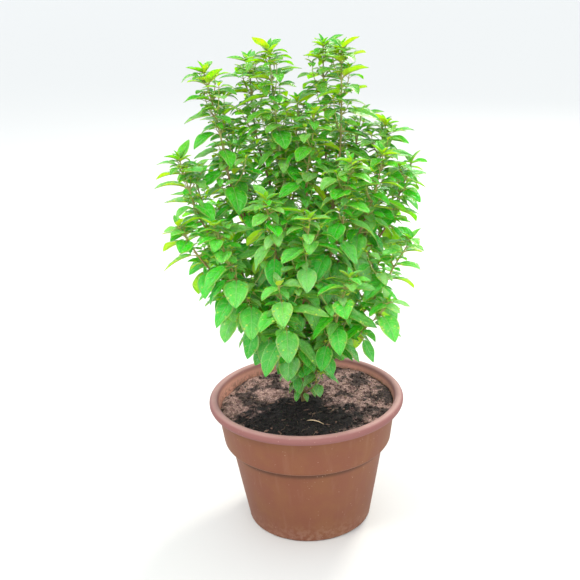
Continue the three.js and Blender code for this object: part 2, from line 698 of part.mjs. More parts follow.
// Leaves keep clear of all stems, of the leaves already placed, and of the pot and soil
function growFoliage(stems, pot, soil) {
  const obstacles = [pot, soil].map((solid) => ({ owner: null, solid }));
  for (const stem of stems) obstacles.push({ owner: stem, solid: stem.tube });
  for (const stem of stems) stem.growLeaves(obstacles);
}

function makeMesh(name, solid, finish) {
  const material = new THREE.MeshStandardMaterial({ ...finish, metalness: 0 });
  const mesh = new THREE.Mesh(geometryFromSolid(solid), material);
  mesh.name = name;
  return mesh;
}

const stems = makeStems();
const pot = makePot();
const soil = makeSoil(stems[0]);
growFoliage(stems, pot, soil);

const pottedBasil = new THREE.Group();
pottedBasil.add(makeMesh("pot", pot, FINISHES.pot));
pottedBasil.add(makeMesh("soil", soil, FINISHES.soil));
for (const stem of stems) {
  pottedBasil.add(makeMesh(stem.name, stem.finish(), stem.parent ? FINISHES.leafy_stem : FINISHES.main_stem));
}

export default pottedBasil;
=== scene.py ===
"""Looks of a potted lemon basil, built around the fixed frame: pot, soil, litter, stems and leaves.

Lengths are in millimetres until a mesh is made. The frame and the heights in the finishes are in metres.
"""

import json
import logging
from dataclasses import dataclass, field, replace
from enum import Enum
from itertools import combinations
from math import atan2, cos, dist, hypot, pi, radians, sin
from typing import Any, Callable, Iterable, Iterator, Sequence

import bpy
import numpy as np
from mathutils import Matrix, Vector, noise
from mathutils.bvhtree import BVHTree
from mathutils.kdtree import KDTree

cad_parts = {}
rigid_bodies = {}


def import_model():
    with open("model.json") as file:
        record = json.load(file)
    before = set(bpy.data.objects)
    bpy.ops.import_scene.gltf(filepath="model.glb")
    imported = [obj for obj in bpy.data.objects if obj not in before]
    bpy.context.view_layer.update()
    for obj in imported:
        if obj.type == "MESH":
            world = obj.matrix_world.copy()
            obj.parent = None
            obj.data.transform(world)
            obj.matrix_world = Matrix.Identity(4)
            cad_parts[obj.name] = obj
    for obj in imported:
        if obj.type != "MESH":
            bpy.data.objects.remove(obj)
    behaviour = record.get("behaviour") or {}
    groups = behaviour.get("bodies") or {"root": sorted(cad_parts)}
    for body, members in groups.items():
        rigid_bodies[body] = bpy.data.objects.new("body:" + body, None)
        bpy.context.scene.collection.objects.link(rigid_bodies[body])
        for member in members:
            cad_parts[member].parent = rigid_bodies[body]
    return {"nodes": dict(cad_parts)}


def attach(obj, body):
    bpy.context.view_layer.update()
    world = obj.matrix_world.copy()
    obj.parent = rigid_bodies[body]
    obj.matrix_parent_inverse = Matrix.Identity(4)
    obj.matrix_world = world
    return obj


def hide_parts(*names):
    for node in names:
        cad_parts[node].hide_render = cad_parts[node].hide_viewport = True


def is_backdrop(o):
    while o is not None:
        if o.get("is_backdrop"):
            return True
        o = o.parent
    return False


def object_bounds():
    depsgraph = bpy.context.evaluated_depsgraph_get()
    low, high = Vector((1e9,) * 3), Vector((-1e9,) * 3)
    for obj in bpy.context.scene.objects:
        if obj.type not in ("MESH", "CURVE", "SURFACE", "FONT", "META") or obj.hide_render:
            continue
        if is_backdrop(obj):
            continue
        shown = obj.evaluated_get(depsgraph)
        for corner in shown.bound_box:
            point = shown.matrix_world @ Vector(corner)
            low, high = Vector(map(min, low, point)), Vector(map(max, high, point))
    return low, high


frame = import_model()

log = logging.getLogger("basil")

MM = 0.001
UP = np.array([0.0, 0.0, 1.0])
BODY = "root"

Colour = tuple[float, float, float, float]
Span = tuple[float, float]
Box = tuple[Vector, Vector]
Draw = Callable[[], float]
Faces = list[list[int]]


class Slot(Enum):
    """The record's material slots."""

    POT = "pot_plastic"
    SOIL = "potting_soil"
    WOOD = "woody_stem"
    LEAF = "leaf"


def srgb(*screen: int) -> Colour:
    """Linear colour of a screen colour whose channels go from 0 to 255."""
    parts = [channel / 255 for channel in screen]
    return (*(part / 12.92 if part <= 0.04045 else ((part + 0.055) / 1.055) ** 2.4 for part in parts), 1.0)


def mix(start: Any, end: Any, part: Any) -> Any:
    """The value at a part of the way from start to end."""
    return start + (end - start) * part


# Shaders

def operator(operation: str, swapped: bool = False) -> Callable[["Value", Any], "Value"]:
    """An operator on values, which adds a Math node.

    Args:
        operation: The node's operation.
        swapped: Whether the other term comes first, as in a reflected form.

    Returns:
        The operator's method.
    """
    def apply(value: "Value", other: Any) -> "Value":
        """Adds the node for two terms."""
        return value.math(operation, *((other, value) if swapped else (value, other)))

    return apply


class Value:
    """A number socket of a shader tree, on which Python's operators add Math nodes."""

    __add__, __radd__ = operator("ADD"), operator("ADD", swapped=True)
    __sub__, __rsub__ = operator("SUBTRACT"), operator("SUBTRACT", swapped=True)
    __mul__, __rmul__ = operator("MULTIPLY"), operator("MULTIPLY", swapped=True)
    __pow__ = operator("POWER")
    larger = operator("MAXIMUM")

    def __init__(self, shader: "Shader", socket: bpy.types.NodeSocket) -> None:
        """Keeps the tree and the socket."""
        self.shader = shader
        self.socket = socket

    def math(self, operation: str, *terms: Any) -> "Value":
        """The result of a Math node with these terms."""
        return self.shader.value("ShaderNodeMath", dict(enumerate(terms)), operation=operation)

    def __abs__(self) -> "Value":
        """Size without the sign."""
        return self.math("ABSOLUTE", self)

    def fraction(self) -> "Value":
        """What is left above the whole number."""
        return self.math("FRACT", self)

    def smooth(self, low: float, high: float) -> "Value":
        """Goes smoothly from 0 at low to 1 at high."""
        inputs = {"Value": self, "From Min": low, "From Max": high}
        return self.shader.value("ShaderNodeMapRange", inputs, interpolation_type="SMOOTHSTEP")

    def falling(self, low: float, high: float) -> "Value":
        """Goes smoothly from 1 at low to 0 at high."""
        return 1 - self.smooth(low, high)


class Shader:
    """A material's tree of nodes."""

    def __init__(self, name: str) -> None:
        """Makes an empty material.

        Args:
            name: Its name.
        """
        self.material = bpy.data.materials.new(name)
        self.material.use_nodes = True
        self.tree = self.material.node_tree
        self.tree.nodes.clear()

    def node(self, kind: str, inputs: dict[int | str, Any] | None = None, **settings: Any) -> bpy.types.Node:
        """Adds a node.

        Args:
            kind: The node's type.
            inputs: Numbers, colours, values or sockets for its inputs, by name or number.
            settings: Its properties, which are set first.

        Returns:
            The node.
        """
        made = self.tree.nodes.new(kind)
        for name, setting in settings.items():
            setattr(made, name, setting)
        for key, given in (inputs or {}).items():
            source = given.socket if isinstance(given, Value) else given
            if isinstance(source, bpy.types.NodeSocket):
                self.tree.links.new(source, made.inputs[key])
            else:
                made.inputs[key].default_value = source
        return made

    def value(self, kind: str, inputs: dict[int | str, Any], **settings: Any) -> Value:
        """Adds a node and gives its first output as a number."""
        return Value(self, self.node(kind, inputs, **settings).outputs[0])

    def place(self) -> bpy.types.NodeSocket:
        """The point of the surface in the piece's own space, in metres."""
        return self.node("ShaderNodeTexCoord").outputs["Object"]

    def split(self, vector: bpy.types.NodeSocket) -> tuple[Value, ...]:
        """The three numbers of a vector."""
        outputs = self.node("ShaderNodeSeparateXYZ", {0: vector}).outputs
        return tuple(Value(self, socket) for socket in outputs)

    def map_of(self, name: str) -> tuple[Value, ...]:
        """The two numbers of the surface map of that name."""
        return self.split(self.node("ShaderNodeUVMap", uv_map=name).outputs[0])[:2]

    def stretched(self, *scale: float) -> bpy.types.NodeSocket:
        """The point of the surface, stretched along its axes."""
        return self.node("ShaderNodeVectorMath", {0: self.place(), 1: scale}, operation="MULTIPLY").outputs[0]

    def grain(self, size: float, detail: float = 3.0, roughness: float = 0.5,
              vector: bpy.types.NodeSocket | None = None) -> Value:
        """Cloudy noise from 0 to 1.

        Args:
            size: Width of its patches, in millimetres.
            detail: How many finer layers it has.
            roughness: How strong they are.
            vector: The point to read it at, or None for the surface's own.

        Returns:
            The noise.
        """
        inputs = {"Vector": vector or self.place(), "Scale": 1 / (size * MM), "Detail": detail}
        return self.value("ShaderNodeTexNoise", inputs | {"Roughness": roughness})

    def cells(self, size: float, feature: str) -> Value:
        """A feature of a pattern of cells, whose width is in millimetres."""
        inputs = {"Vector": self.place(), "Scale": 1 / (size * MM)}
        return self.value("ShaderNodeTexVoronoi", inputs, feature=feature)

    def blend(self, factor: Any, first: Any, second: Any) -> bpy.types.NodeSocket:
        """Goes from the first colour to the second as the factor goes from 0 to 1."""
        return self.node("ShaderNodeMix", {0: factor, 6: first, 7: second}, data_type="RGBA").outputs[2]

    def tinted(self, colour: Any, hue: Any, saturation: Any, brightness: Any) -> bpy.types.NodeSocket:
        """Shifts a colour's hue, saturation and brightness."""
        inputs = {"Hue": hue, "Saturation": saturation, "Value": brightness, "Color": colour}
        return self.node("ShaderNodeHueSaturation", inputs).outputs[0]

    def bump(self, height: Value, depth: float, strength: float = 1.0) -> bpy.types.NodeSocket:
        """A normal that follows a height, of which 1 is a depth in millimetres."""
        inputs = {"Strength": strength, "Distance": depth * MM, "Height": height}
        return self.node("ShaderNodeBump", inputs).outputs[0]

    def finish(self, inputs: dict[int | str, Any]) -> bpy.types.Material:
        """Adds the surface shader and the output.

        Args:
            inputs: The surface shader's inputs.

        Returns:
            The material.
        """
        surface = self.node("ShaderNodeBsdfPrincipled", inputs)
        self.node("ShaderNodeOutputMaterial", {"Surface": surface.outputs[0]})
        return self.material


@dataclass(frozen=True)
class PotFinish:
    """Matt moulded plastic in terracotta: mottled, dusty at the foot, soiled inside, with painted shade under
    the step, the roll and towards the foot, a painted highlight on the roll's top and painted light on the
    inner wall.
    """

    body: Colour = srgb(118, 70, 50)
    warm: Colour = srgb(122, 77, 51)
    rim: Colour = srgb(130, 84, 82)
    # Painted highlight on the top of the roll
    crown_highlight: Colour = srgb(194, 158, 148)
    # Painted light: the inner wall is far paler than the same plastic outside
    inside: Colour = srgb(226, 164, 142)
    # Painted shade for the dark lines under the step and under the roll
    painted_shade: Colour = srgb(62, 38, 26)
    dirt: Colour = srgb(52, 36, 28)
    dust: Colour = srgb(186, 154, 134)
    foot_top: Span = (0.0, 0.04)
    body_shade: Span = (0.03, 0.125)
    below_step: Span = (0.1215, 0.1285)
    step: Span = (0.1345, 0.1354)
    below_roll: Span = (0.19, 0.1945)
    roll_foot: Span = (0.1945, 0.1965)
    rim_foot: Span = (0.1935, 0.198)
    rim_crown: Span = (0.206, 0.2095)
    inside_foot: Span = (0.13, 0.15)
    inside_top: Span = (0.2, 0.2075)
    splash_top: Span = (0.19, 0.204)
    band_foot: Span = (0.132, 0.1354)
    band_slope: float = 0.127
    wall_inside: Span = (-0.0018, -0.0009)

    def make(self) -> bpy.types.Material:
        """Builds the material.

        Returns:
            The material.
        """
        shader = Shader("terracotta_plastic")
        x, y, z = shader.split(shader.place())
        mottle = shader.grain(38, 4, 0.55)
        streak = shader.grain(9, 3, 0.5, shader.stretched(1, 1, 0.08))
        fine = shader.grain(0.9, 2)
        colour = shader.blend(mottle.smooth(0.35, 0.7), self.body, self.warm)
        colour = shader.blend(streak.smooth(0.5, 0.8) * 0.05, colour, self.dust)
        # Painted shade: a dark line on the body just under the step, and another under the roll, where shade
        # falls
        crease_shade = z.smooth(*self.below_step) * z.falling(*self.step) * 0.62
        crease_shade = crease_shade.larger(z.smooth(*self.below_roll) * z.falling(*self.roll_foot) * 0.5)
        colour = shader.blend(crease_shade, colour, self.painted_shade)
        colour = shader.blend(z.smooth(*self.rim_foot) * 0.85, colour, self.rim)
        # Painted highlight: paler patches on the top of the roll, where light falls on it
        colour = shader.blend(z.smooth(*self.rim_crown) * (0.1 + mottle * 0.6), colour, self.crown_highlight)
        speck = shader.cells(5.5, "F1").falling(0.1, 0.16) * shader.grain(14, 2).smooth(0.5, 0.62)
        colour = shader.blend(speck * 0.4, colour, self.dust)
        foot = z.falling(*self.foot_top) * shader.grain(7, 5, 0.65).smooth(0.42, 0.62)
        colour = shader.blend(foot * 0.22, colour, self.dust)
        radius, height = self.band_foot
        within = (x * x + y * y) ** 0.5 - radius - (z - height) * self.band_slope
        inner = within.falling(*self.wall_inside) * z.smooth(*self.inside_foot) * z.falling(*self.inside_top)
        # Painted light: the inner wall is painted far paler than the outside, standing in for light falling
        # on it
        colour = shader.blend(inner * 0.75, colour, self.inside)
        splash = inner * z.falling(*self.splash_top) * shader.grain(5, 6, 0.7).smooth(0.4, 0.6)
        colour = shader.blend(splash * 0.5, colour, self.dirt)
        # Painted shade: the body is a little darker towards the foot
        shade = (0.96 + fine * 0.08) * (1.0 - z.falling(*self.body_shade) * 0.09)
        relief = fine * 0.4 + shader.grain(4, 3) * 0.6 + splash
        return shader.finish({
            "Base Color": shader.tinted(colour, 0.5, 1.0, shade), "IOR": 1.46, "Specular IOR Level": 0.3,
            "Roughness": 0.5 + mottle * 0.16 + splash * 0.3 + foot * 0.15,
            "Normal": shader.bump(relief, 0.12, 0.6),
        })


@dataclass(frozen=True)
class SoilFinish:
    """Potting mix: near black at the front, where it is wet and the plant's shadow is painted on it, with dry
    pinkish brown crumbs round that.
    """

    name: str = "potting_mix"
    # Near black: wet soil darkened further as painted shadow, also the darkest crumbs elsewhere
    shaded_moist: Colour = srgb(19, 18, 18)
    loam: Colour = srgb(60, 48, 43)
    dry: Colour = srgb(130, 101, 94)
    pale: Colour = srgb(206, 173, 160)
    drier: float = 1.0
    moist_shadow_middle: Span = (-0.014, -0.058)
    moist_shadow_scale: Span = (11, 13)
    left_edge: Span = (-0.105, -0.05)

    def make(self) -> bpy.types.Material:
        """Builds the material.

        Returns:
            The material.
        """
        shader = Shader(self.name)
        x, y, _ = shader.split(shader.place())
        crumb = shader.grain(2.6, 6, 0.72)
        lump = shader.cells(4.5, "F1")
        patch = shader.grain(34, 5, 0.62)
        # Painted shadow: a near-black patch at the front, partly wet soil and partly the plant's shadow
        # painted on it. Round it the soil is drier and paler.
        aside = (x - self.moist_shadow_middle[0]) * self.moist_shadow_scale[0]
        ahead = (y - self.moist_shadow_middle[1]) * self.moist_shadow_scale[1]
        away = (aside * aside + ahead * ahead) ** 0.5
        moist_and_shadowed = (away + (patch - 0.5) * 1.5).falling(0.82, 1.12)
        bare = shader.grain(30, 5, 0.6) + x.falling(*self.left_edge) * 0.04
        dryness = (1 - moist_and_shadowed) * (0.1 + bare.smooth(0.44, 0.54) * 0.9) * self.drier
        colour = shader.blend(crumb.smooth(0.48, 0.66), self.shaded_moist, self.loam)
        colour = shader.blend(dryness * crumb.smooth(0.24, 0.44), colour, self.dry)
        colour = shader.blend(dryness * crumb.smooth(0.44, 0.64) * 0.75, colour, self.pale)
        relief = crumb * 0.7 + (1 - lump) * 0.6 + shader.grain(0.8, 3) * 0.3
        return shader.finish({
            "Base Color": colour, "Roughness": 0.86 + crumb * 0.12, "Specular IOR Level": 0.25,
            "Normal": shader.bump(relief, 1.6, 0.9),
        })


@dataclass(frozen=True)
class LitterFinish:
    """Dry plant litter: straw-coloured, with long fibres."""

    name: str
    pale: Colour
    dark: Colour

    def make(self) -> bpy.types.Material:
        """Builds the material.

        Returns:
            The material.
        """
        shader = Shader(self.name)
        along, tone = shader.map_of("traits")
        fibre = shader.grain(0.7, 3, 0.6)
        colour = shader.blend((fibre * 0.6 + tone * 0.7).smooth(0.3, 0.95), self.dark, self.pale)
        colour = shader.blend(along.smooth(0.75, 1.0) * 0.3, colour, self.dark)
        return shader.finish({
            "Base Color": colour, "Roughness": 0.75 + fibre * 0.15, "Normal": shader.bump(fibre, 0.12),
        })


@dataclass(frozen=True)
class StemFinish:
    """Stem skin: green, with brown streaks low down and fine ridges along it."""

    name: str
    young: Colour
    old: Colour
    streak: Colour
    streaks: float
    ridges: int = 8

    def make(self) -> bpy.types.Material:
        """Builds the material.

        Returns:
            The material.
        """
        shader = Shader(self.name)
        age, around = shader.map_of("traits")
        line = shader.grain(1.6, 4, 0.6, shader.stretched(1, 1, 0.07))
        blotch = shader.grain(9, 4, 0.6)
        colour = shader.blend(age.smooth(0.1, 0.9), self.young, self.old)
        stripes = (line * 0.65 + blotch * 0.35 + age * 0.12).smooth(0.5, 0.66)
        colour = shader.blend(stripes * self.streaks, colour, self.streak)
        colour = shader.tinted(colour, 0.5, 1.0, 0.88 + blotch * 0.24)
        ridge = abs((around * self.ridges).fraction() - 0.5)
        relief = line * 0.8 + ridge * 0.5 + shader.grain(0.6, 2) * 0.3
        return shader.finish({
            "Base Color": colour, "Roughness": 0.42 + line * 0.25, "Normal": shader.bump(relief, 0.18, 0.7),
        })


# The side veins: how many pairs a blade has, how far they slant, and how far they differ between leaves
VEIN_PAIRS = 4
VEIN_SLANT = 0.26
VEIN_SHIFT = 0.06


def vein_phase(along: Any, across: Any, chance: Any) -> Any:
    """Counts the side veins along a blade, from the middle line or beside it."""
    return (along - across * VEIN_SLANT + chance * VEIN_SHIFT) * VEIN_PAIRS


@dataclass(frozen=True)
class LeafFinish:
    """One side of a leaf: veins, pale margin, blistered green between the veins, and painted light that
    changes its brightness, saturation and hue with height, brightest at mid-height.
    """

    name: str
    deep: Colour
    bright: Colour
    vein: Colour
    margin: Colour
    gloss: float
    relief: float
    vein_tint: float
    # Painted light: brightness at the top and the foot of the bush, and at mid-height
    top_painted_light: float
    mid_painted_light: float = 1.12
    low_leaves: Span = (0.22, 0.42)
    top_leaves: Span = (0.42, 0.68)

    def make(self) -> bpy.types.Material:
        """Builds the material.

        Returns:
            The material.
        """
        shader = Shader(self.name)
        along, across_map = shader.map_of("blade")
        tone, chance = shader.map_of("traits")
        across = abs(across_map * 2 - 1)
        beside = abs(vein_phase(along, across, chance).fraction() - 0.5)
        fading = across.falling(0.55, 0.93)
        veins = across.falling(0.02, 0.075).larger(beside.smooth(0.43, 0.49) * fading * 0.75)
        net = shader.cells(1.5, "DISTANCE_TO_EDGE").falling(0.0, 0.16)
        edge = across.smooth(0.82, 0.96)
        cloud = shader.grain(9, 3, 0.55)
        fine = shader.grain(0.7, 2)
        z = shader.split(shader.place())[2]
        # Painted light: leaves are brightest at mid-height and darker above and below, and the lower ones are
        # less saturated and a touch greener, standing in for how light falls into the bush
        painted_light_mask = z.falling(*self.top_leaves)
        light = tone + (cloud - 0.5) * 0.35 + (chance - 0.5) * 0.75
        colour = shader.blend(light.smooth(0.0, 1.0), self.deep, self.bright)
        lift = painted_light_mask * z.smooth(*self.low_leaves) * (self.mid_painted_light - self.top_painted_light)
        bright = (self.top_painted_light + lift) * (0.85 + cloud * 0.3)
        saturation = 1.19 - painted_light_mask * 0.24 + fine * 0.08
        colour = shader.tinted(colour, 0.49 + chance * 0.02 + painted_light_mask * 0.008, saturation, bright)
        colour = shader.blend(net * 0.16, colour, self.vein)
        colour = shader.blend(veins * self.vein_tint, colour, self.vein)
        colour = shader.blend(edge * 0.45, colour, self.margin)
        pillow = (0.5 - beside) * fading * 0.8
        relief = pillow - veins * 0.5 - net * 0.16 + fine * 0.12
        return shader.finish({
            "Base Color": colour, "Roughness": self.gloss + cloud * 0.16 + net * 0.06,
            "IOR": 1.42, "Specular IOR Level": 0.34,
            "Subsurface Weight": 0.8, "Subsurface Radius": (0.5, 1.0, 0.12), "Subsurface Scale": 0.0024,
            "Normal": shader.bump(relief, self.relief, 0.8),
        })


LEAF_TOP = LeafFinish(
    "leaf_top", deep=srgb(22, 173, 26), bright=srgb(136, 184, 102), vein=srgb(180, 220, 140),
    margin=srgb(186, 224, 120), gloss=0.16, relief=0.75, vein_tint=0.34, top_painted_light=0.68,
)
# The underside is paler, as in the real leaf, and is painted a brighter yellow besides, which stands in for
# light shining through it
LEAF_UNDER = LeafFinish(
    "leaf_underside", deep=srgb(98, 186, 48), bright=srgb(198, 232, 36), vein=srgb(200, 226, 120),
    margin=srgb(186, 220, 104), gloss=0.5, relief=-0.5, vein_tint=0.5, top_painted_light=0.88,
)
GREEN_STEM = StemFinish("green_stem", srgb(158, 162, 84), srgb(146, 112, 74), srgb(130, 76, 54), 0.6)
WOODY_STEM = StemFinish("woody_stem", srgb(146, 160, 82), srgb(146, 140, 86), srgb(96, 64, 38), 0.75)
BARK = LitterFinish("bark_chip", pale=srgb(112, 84, 70), dark=srgb(42, 32, 28))
STRAW = LitterFinish("dry_straw", pale=srgb(140, 116, 92), dark=srgb(74, 56, 44))
SLIVER = LitterFinish("pale_sliver", pale=srgb(214, 184, 148), dark=srgb(160, 126, 94))
CRUMB = SoilFinish("soil_crumb", drier=0.8)


# Meshes

def grid_faces(rows: int, columns: int, closed: bool = False, flip: bool = False) -> Faces:
    """Faces of a grid of points.

    Args:
        rows: Number of rows.
        columns: Number of points in a row.
        closed: Whether each row joins its own start.
        flip: Whether the faces look the other way.

    Returns:
        The faces.
    """
    faces = []
    for row in range(rows - 1):
        for column in range(columns if closed else columns - 1):
            here, after = row * columns + column, row * columns + (column + 1) % columns
            face = [here, after, after + columns, here + columns]
            faces.append(face[::-1] if flip else face)
    return faces


# Below this rise a line is taken as level, and its rings stand upright
LEVEL_RUN = 0.35


def tube_rings(centres: np.ndarray, radii: np.ndarray, sides: int, turn: float = 0.0,
               square: float = 0.0) -> np.ndarray:
    """Rings of points round a line.

    Args:
        centres: Points of the line.
        radii: Radius at each point.
        sides: Points in a ring.
        turn: Turn of the rings about the line, in radians.
        square: How square the section is, from 0 for round.

    Returns:
        The points, ring by ring.
    """
    ahead = np.gradient(centres, axis=0)
    ahead /= np.linalg.norm(ahead, axis=1)[:, None]
    angles = turn + np.arange(sides) * 2 * pi / sides
    flat = np.stack([np.cos(angles), np.sin(angles), np.zeros(sides)], axis=1)
    if abs(ahead[0, 2]) < LEVEL_RUN:
        sideways = np.cross(UP, ahead[0])
        sideways /= np.linalg.norm(sideways)
        flat = np.cos(angles)[:, None] * sideways + np.sin(angles)[:, None] * UP
    spokes = flat[None] - np.einsum("sc,rc->rs", flat, ahead)[..., None] * ahead[:, None]
    spokes /= np.linalg.norm(spokes, axis=2)[..., None]
    shape = 1 + square * np.cos(4 * (angles - turn - pi / 4))
    return (centres[:, None] + spokes * (radii[:, None] * shape)[..., None]).reshape(-1, 3)


def tube_faces(rings: int, sides: int) -> Faces:
    """Faces of a tube with both ends closed."""
    last = (rings - 1) * sides
    return grid_faces(rings, sides, closed=True) + [[*range(sides)][::-1], [*range(last, last + sides)]]


def test_tube(centres: np.ndarray, radii: np.ndarray) -> tuple[list[list[float]], Faces]:
    """A coarse tube as plain lists, to test whether something is clear of it."""
    return tube_rings(centres, radii, 4).tolist(), tube_faces(len(centres), 4)


class MeshParts:
    """Points and faces of one piece, with a material slot for each face and two surface maps."""

    def __init__(self) -> None:
        """Starts empty."""
        self.points: list[np.ndarray] = []
        self.faces: Faces = []
        self.slots: list[int] = []
        self.maps: dict[str, list[np.ndarray]] = {"blade": [], "traits": []}
        self.count = 0

    def add_faces(self, faces: Faces, slot: int, start: int) -> None:
        """Adds faces of a slot on points that are there, numbered from a start."""
        self.faces += [[start + index for index in face] for face in faces]
        self.slots += [slot] * len(faces)

    def add(self, points: np.ndarray, faces: Faces, slot: int = 0, blade: Any = (0.0, 0.0),
            traits: Any = (0.0, 0.0)) -> None:
        """Adds points and the faces on them.

        Args:
            points: Points in millimetres.
            faces: Faces as numbers of these points.
            slot: Material slot of the faces.
            blade: Place on the leaf, one pair for each point or one for all.
            traits: Tone and chance, one pair for each point or one for all.
        """
        self.add_faces(faces, slot, self.count)
        self.points.append(points)
        for name, pairs in (("blade", blade), ("traits", traits)):
            self.maps[name].append(np.broadcast_to(pairs, (len(points), 2)))
        self.count += len(points)

    def add_tube(self, centres: np.ndarray, radii: np.ndarray, sides: int, slot: int = 0,
                 traits: Any = (0.0, 0.0)) -> None:
        """Adds a closed round tube.

        Args:
            centres: Points of its line.
            radii: Radius at each point.
            sides: Points in a ring.
            slot: Material slot of the faces.
            traits: Tone and chance, one pair for each point or one for all.
        """
        self.add(tube_rings(centres, radii, sides), tube_faces(len(centres), sides), slot, traits=traits)

    def make(self, name: str, finishes: Sequence[bpy.types.Material]) -> bpy.types.Object:
        """Makes the piece.

        Args:
            name: Name of the piece.
            finishes: Its materials, by slot.

        Returns:
            The object, at the frame's origin.
        """
        mesh = bpy.data.meshes.new(name)
        mesh.from_pydata((np.concatenate(self.points) * MM).tolist(), [], self.faces)
        for finish in finishes:
            mesh.materials.append(finish)
        mesh.polygons.foreach_set("material_index", self.slots)
        smooth_all(mesh)
        corner = np.empty(len(mesh.loops), int)
        mesh.loops.foreach_get("vertex_index", corner)
        for map_name, values in self.maps.items():
            layer = mesh.uv_layers.new(name=map_name)
            layer.data.foreach_set("uv", np.concatenate(values)[corner].ravel())
        mesh.update()
        piece = bpy.data.objects.new(name, mesh)
        bpy.context.scene.collection.objects.link(piece)
        return piece


def smooth_all(mesh: bpy.types.Mesh) -> None:
    """Shades all faces of a mesh smoothly."""
    mesh.polygons.foreach_set("use_smooth", [True] * len(mesh.polygons))


def lathe(profile: Sequence[Span], sides: int) -> tuple[np.ndarray, Faces]:
    """Turns a profile about the upright axis.

    Args:
        profile: Radius and height of each point, from the axis below to the axis above.
        sides: Points in a turn.

    Returns:
        Points and faces of the closed form.
    """
    angles = np.arange(sides) * 2 * pi / sides
    around = np.stack([np.cos(angles), np.sin(angles)], axis=1)
    rings = profile[1:-1]
    points = [np.column_stack([around * radius, np.full(sides, height)]) for radius, height in rings]
    points.append(np.array([[0, 0, profile[0][1]], [0, 0, profile[-1][1]]]))
    faces = grid_faces(len(rings), sides, closed=True)
    low, last = len(rings) * sides, (len(rings) - 1) * sides
    for index in range(sides):
        after = (index + 1) % sides
        faces += [[low, after, index], [low + 1, last + index, last + after]]
    return np.concatenate(points), faces


def soften(corners: Sequence[Span], size: float, steps: int = 5) -> list[Span]:
    """Rounds the inner corners of a run of points.

    Args:
        corners: The points.
        size: How far from a corner its rounding starts, where there is room.
        steps: Points on a rounded corner.

    Returns:
        The points of the softened run.
    """
    made = [corners[0]]
    parts = np.linspace(0, 1, steps)[:, None]
    for run in zip(corners, corners[1:], corners[2:]):
        before, corner, after = (np.array(point, float) for point in run)
        start = min(size, min(dist(run[0], run[1]), dist(run[1], run[2])) * 0.45)
        back = (before - corner) / np.linalg.norm(before - corner) * start + corner
        ahead = (after - corner) / np.linalg.norm(after - corner) * start + corner
        curve = (1 - parts) ** 2 * back + 2 * parts * (1 - parts) * corner + parts ** 2 * ahead
        made += [tuple(point) for point in curve]
    return made + [corners[-1]]


def carve(piece: bpy.types.Object, cutter: bpy.types.Object) -> None:
    """Cuts one piece out of another and removes the cutter.

    Args:
        piece: What is cut.
        cutter: What is cut out of it.
    """
    cut = piece.modifiers.new("cut", "BOOLEAN")
    cut.operation = "DIFFERENCE"
    cut.solver = "EXACT"
    cut.object = cutter
    graph = bpy.context.evaluated_depsgraph_get()
    mesh = bpy.data.meshes.new_from_object(piece.evaluated_get(graph), depsgraph=graph)
    piece.modifiers.clear()
    old, piece.data = piece.data, mesh
    mesh.name = piece.name
    bpy.data.meshes.remove(old)
    bpy.data.objects.remove(cutter)
    smooth_all(mesh)


def place_piece(piece: bpy.types.Object, slot: Slot, *nodes: str) -> None:
    """Lets a piece ride on the body, and hides the nodes of the frame that it stands for.

    Args:
        piece: The piece.
        slot: The record's slot for its finish; not used.
        nodes: Nodes of the frame that it replaces.
    """
    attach(piece, BODY)
    if nodes:
        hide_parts(*nodes)
    log.info("%s: %d faces", piece.name, len(piece.data.polygons))


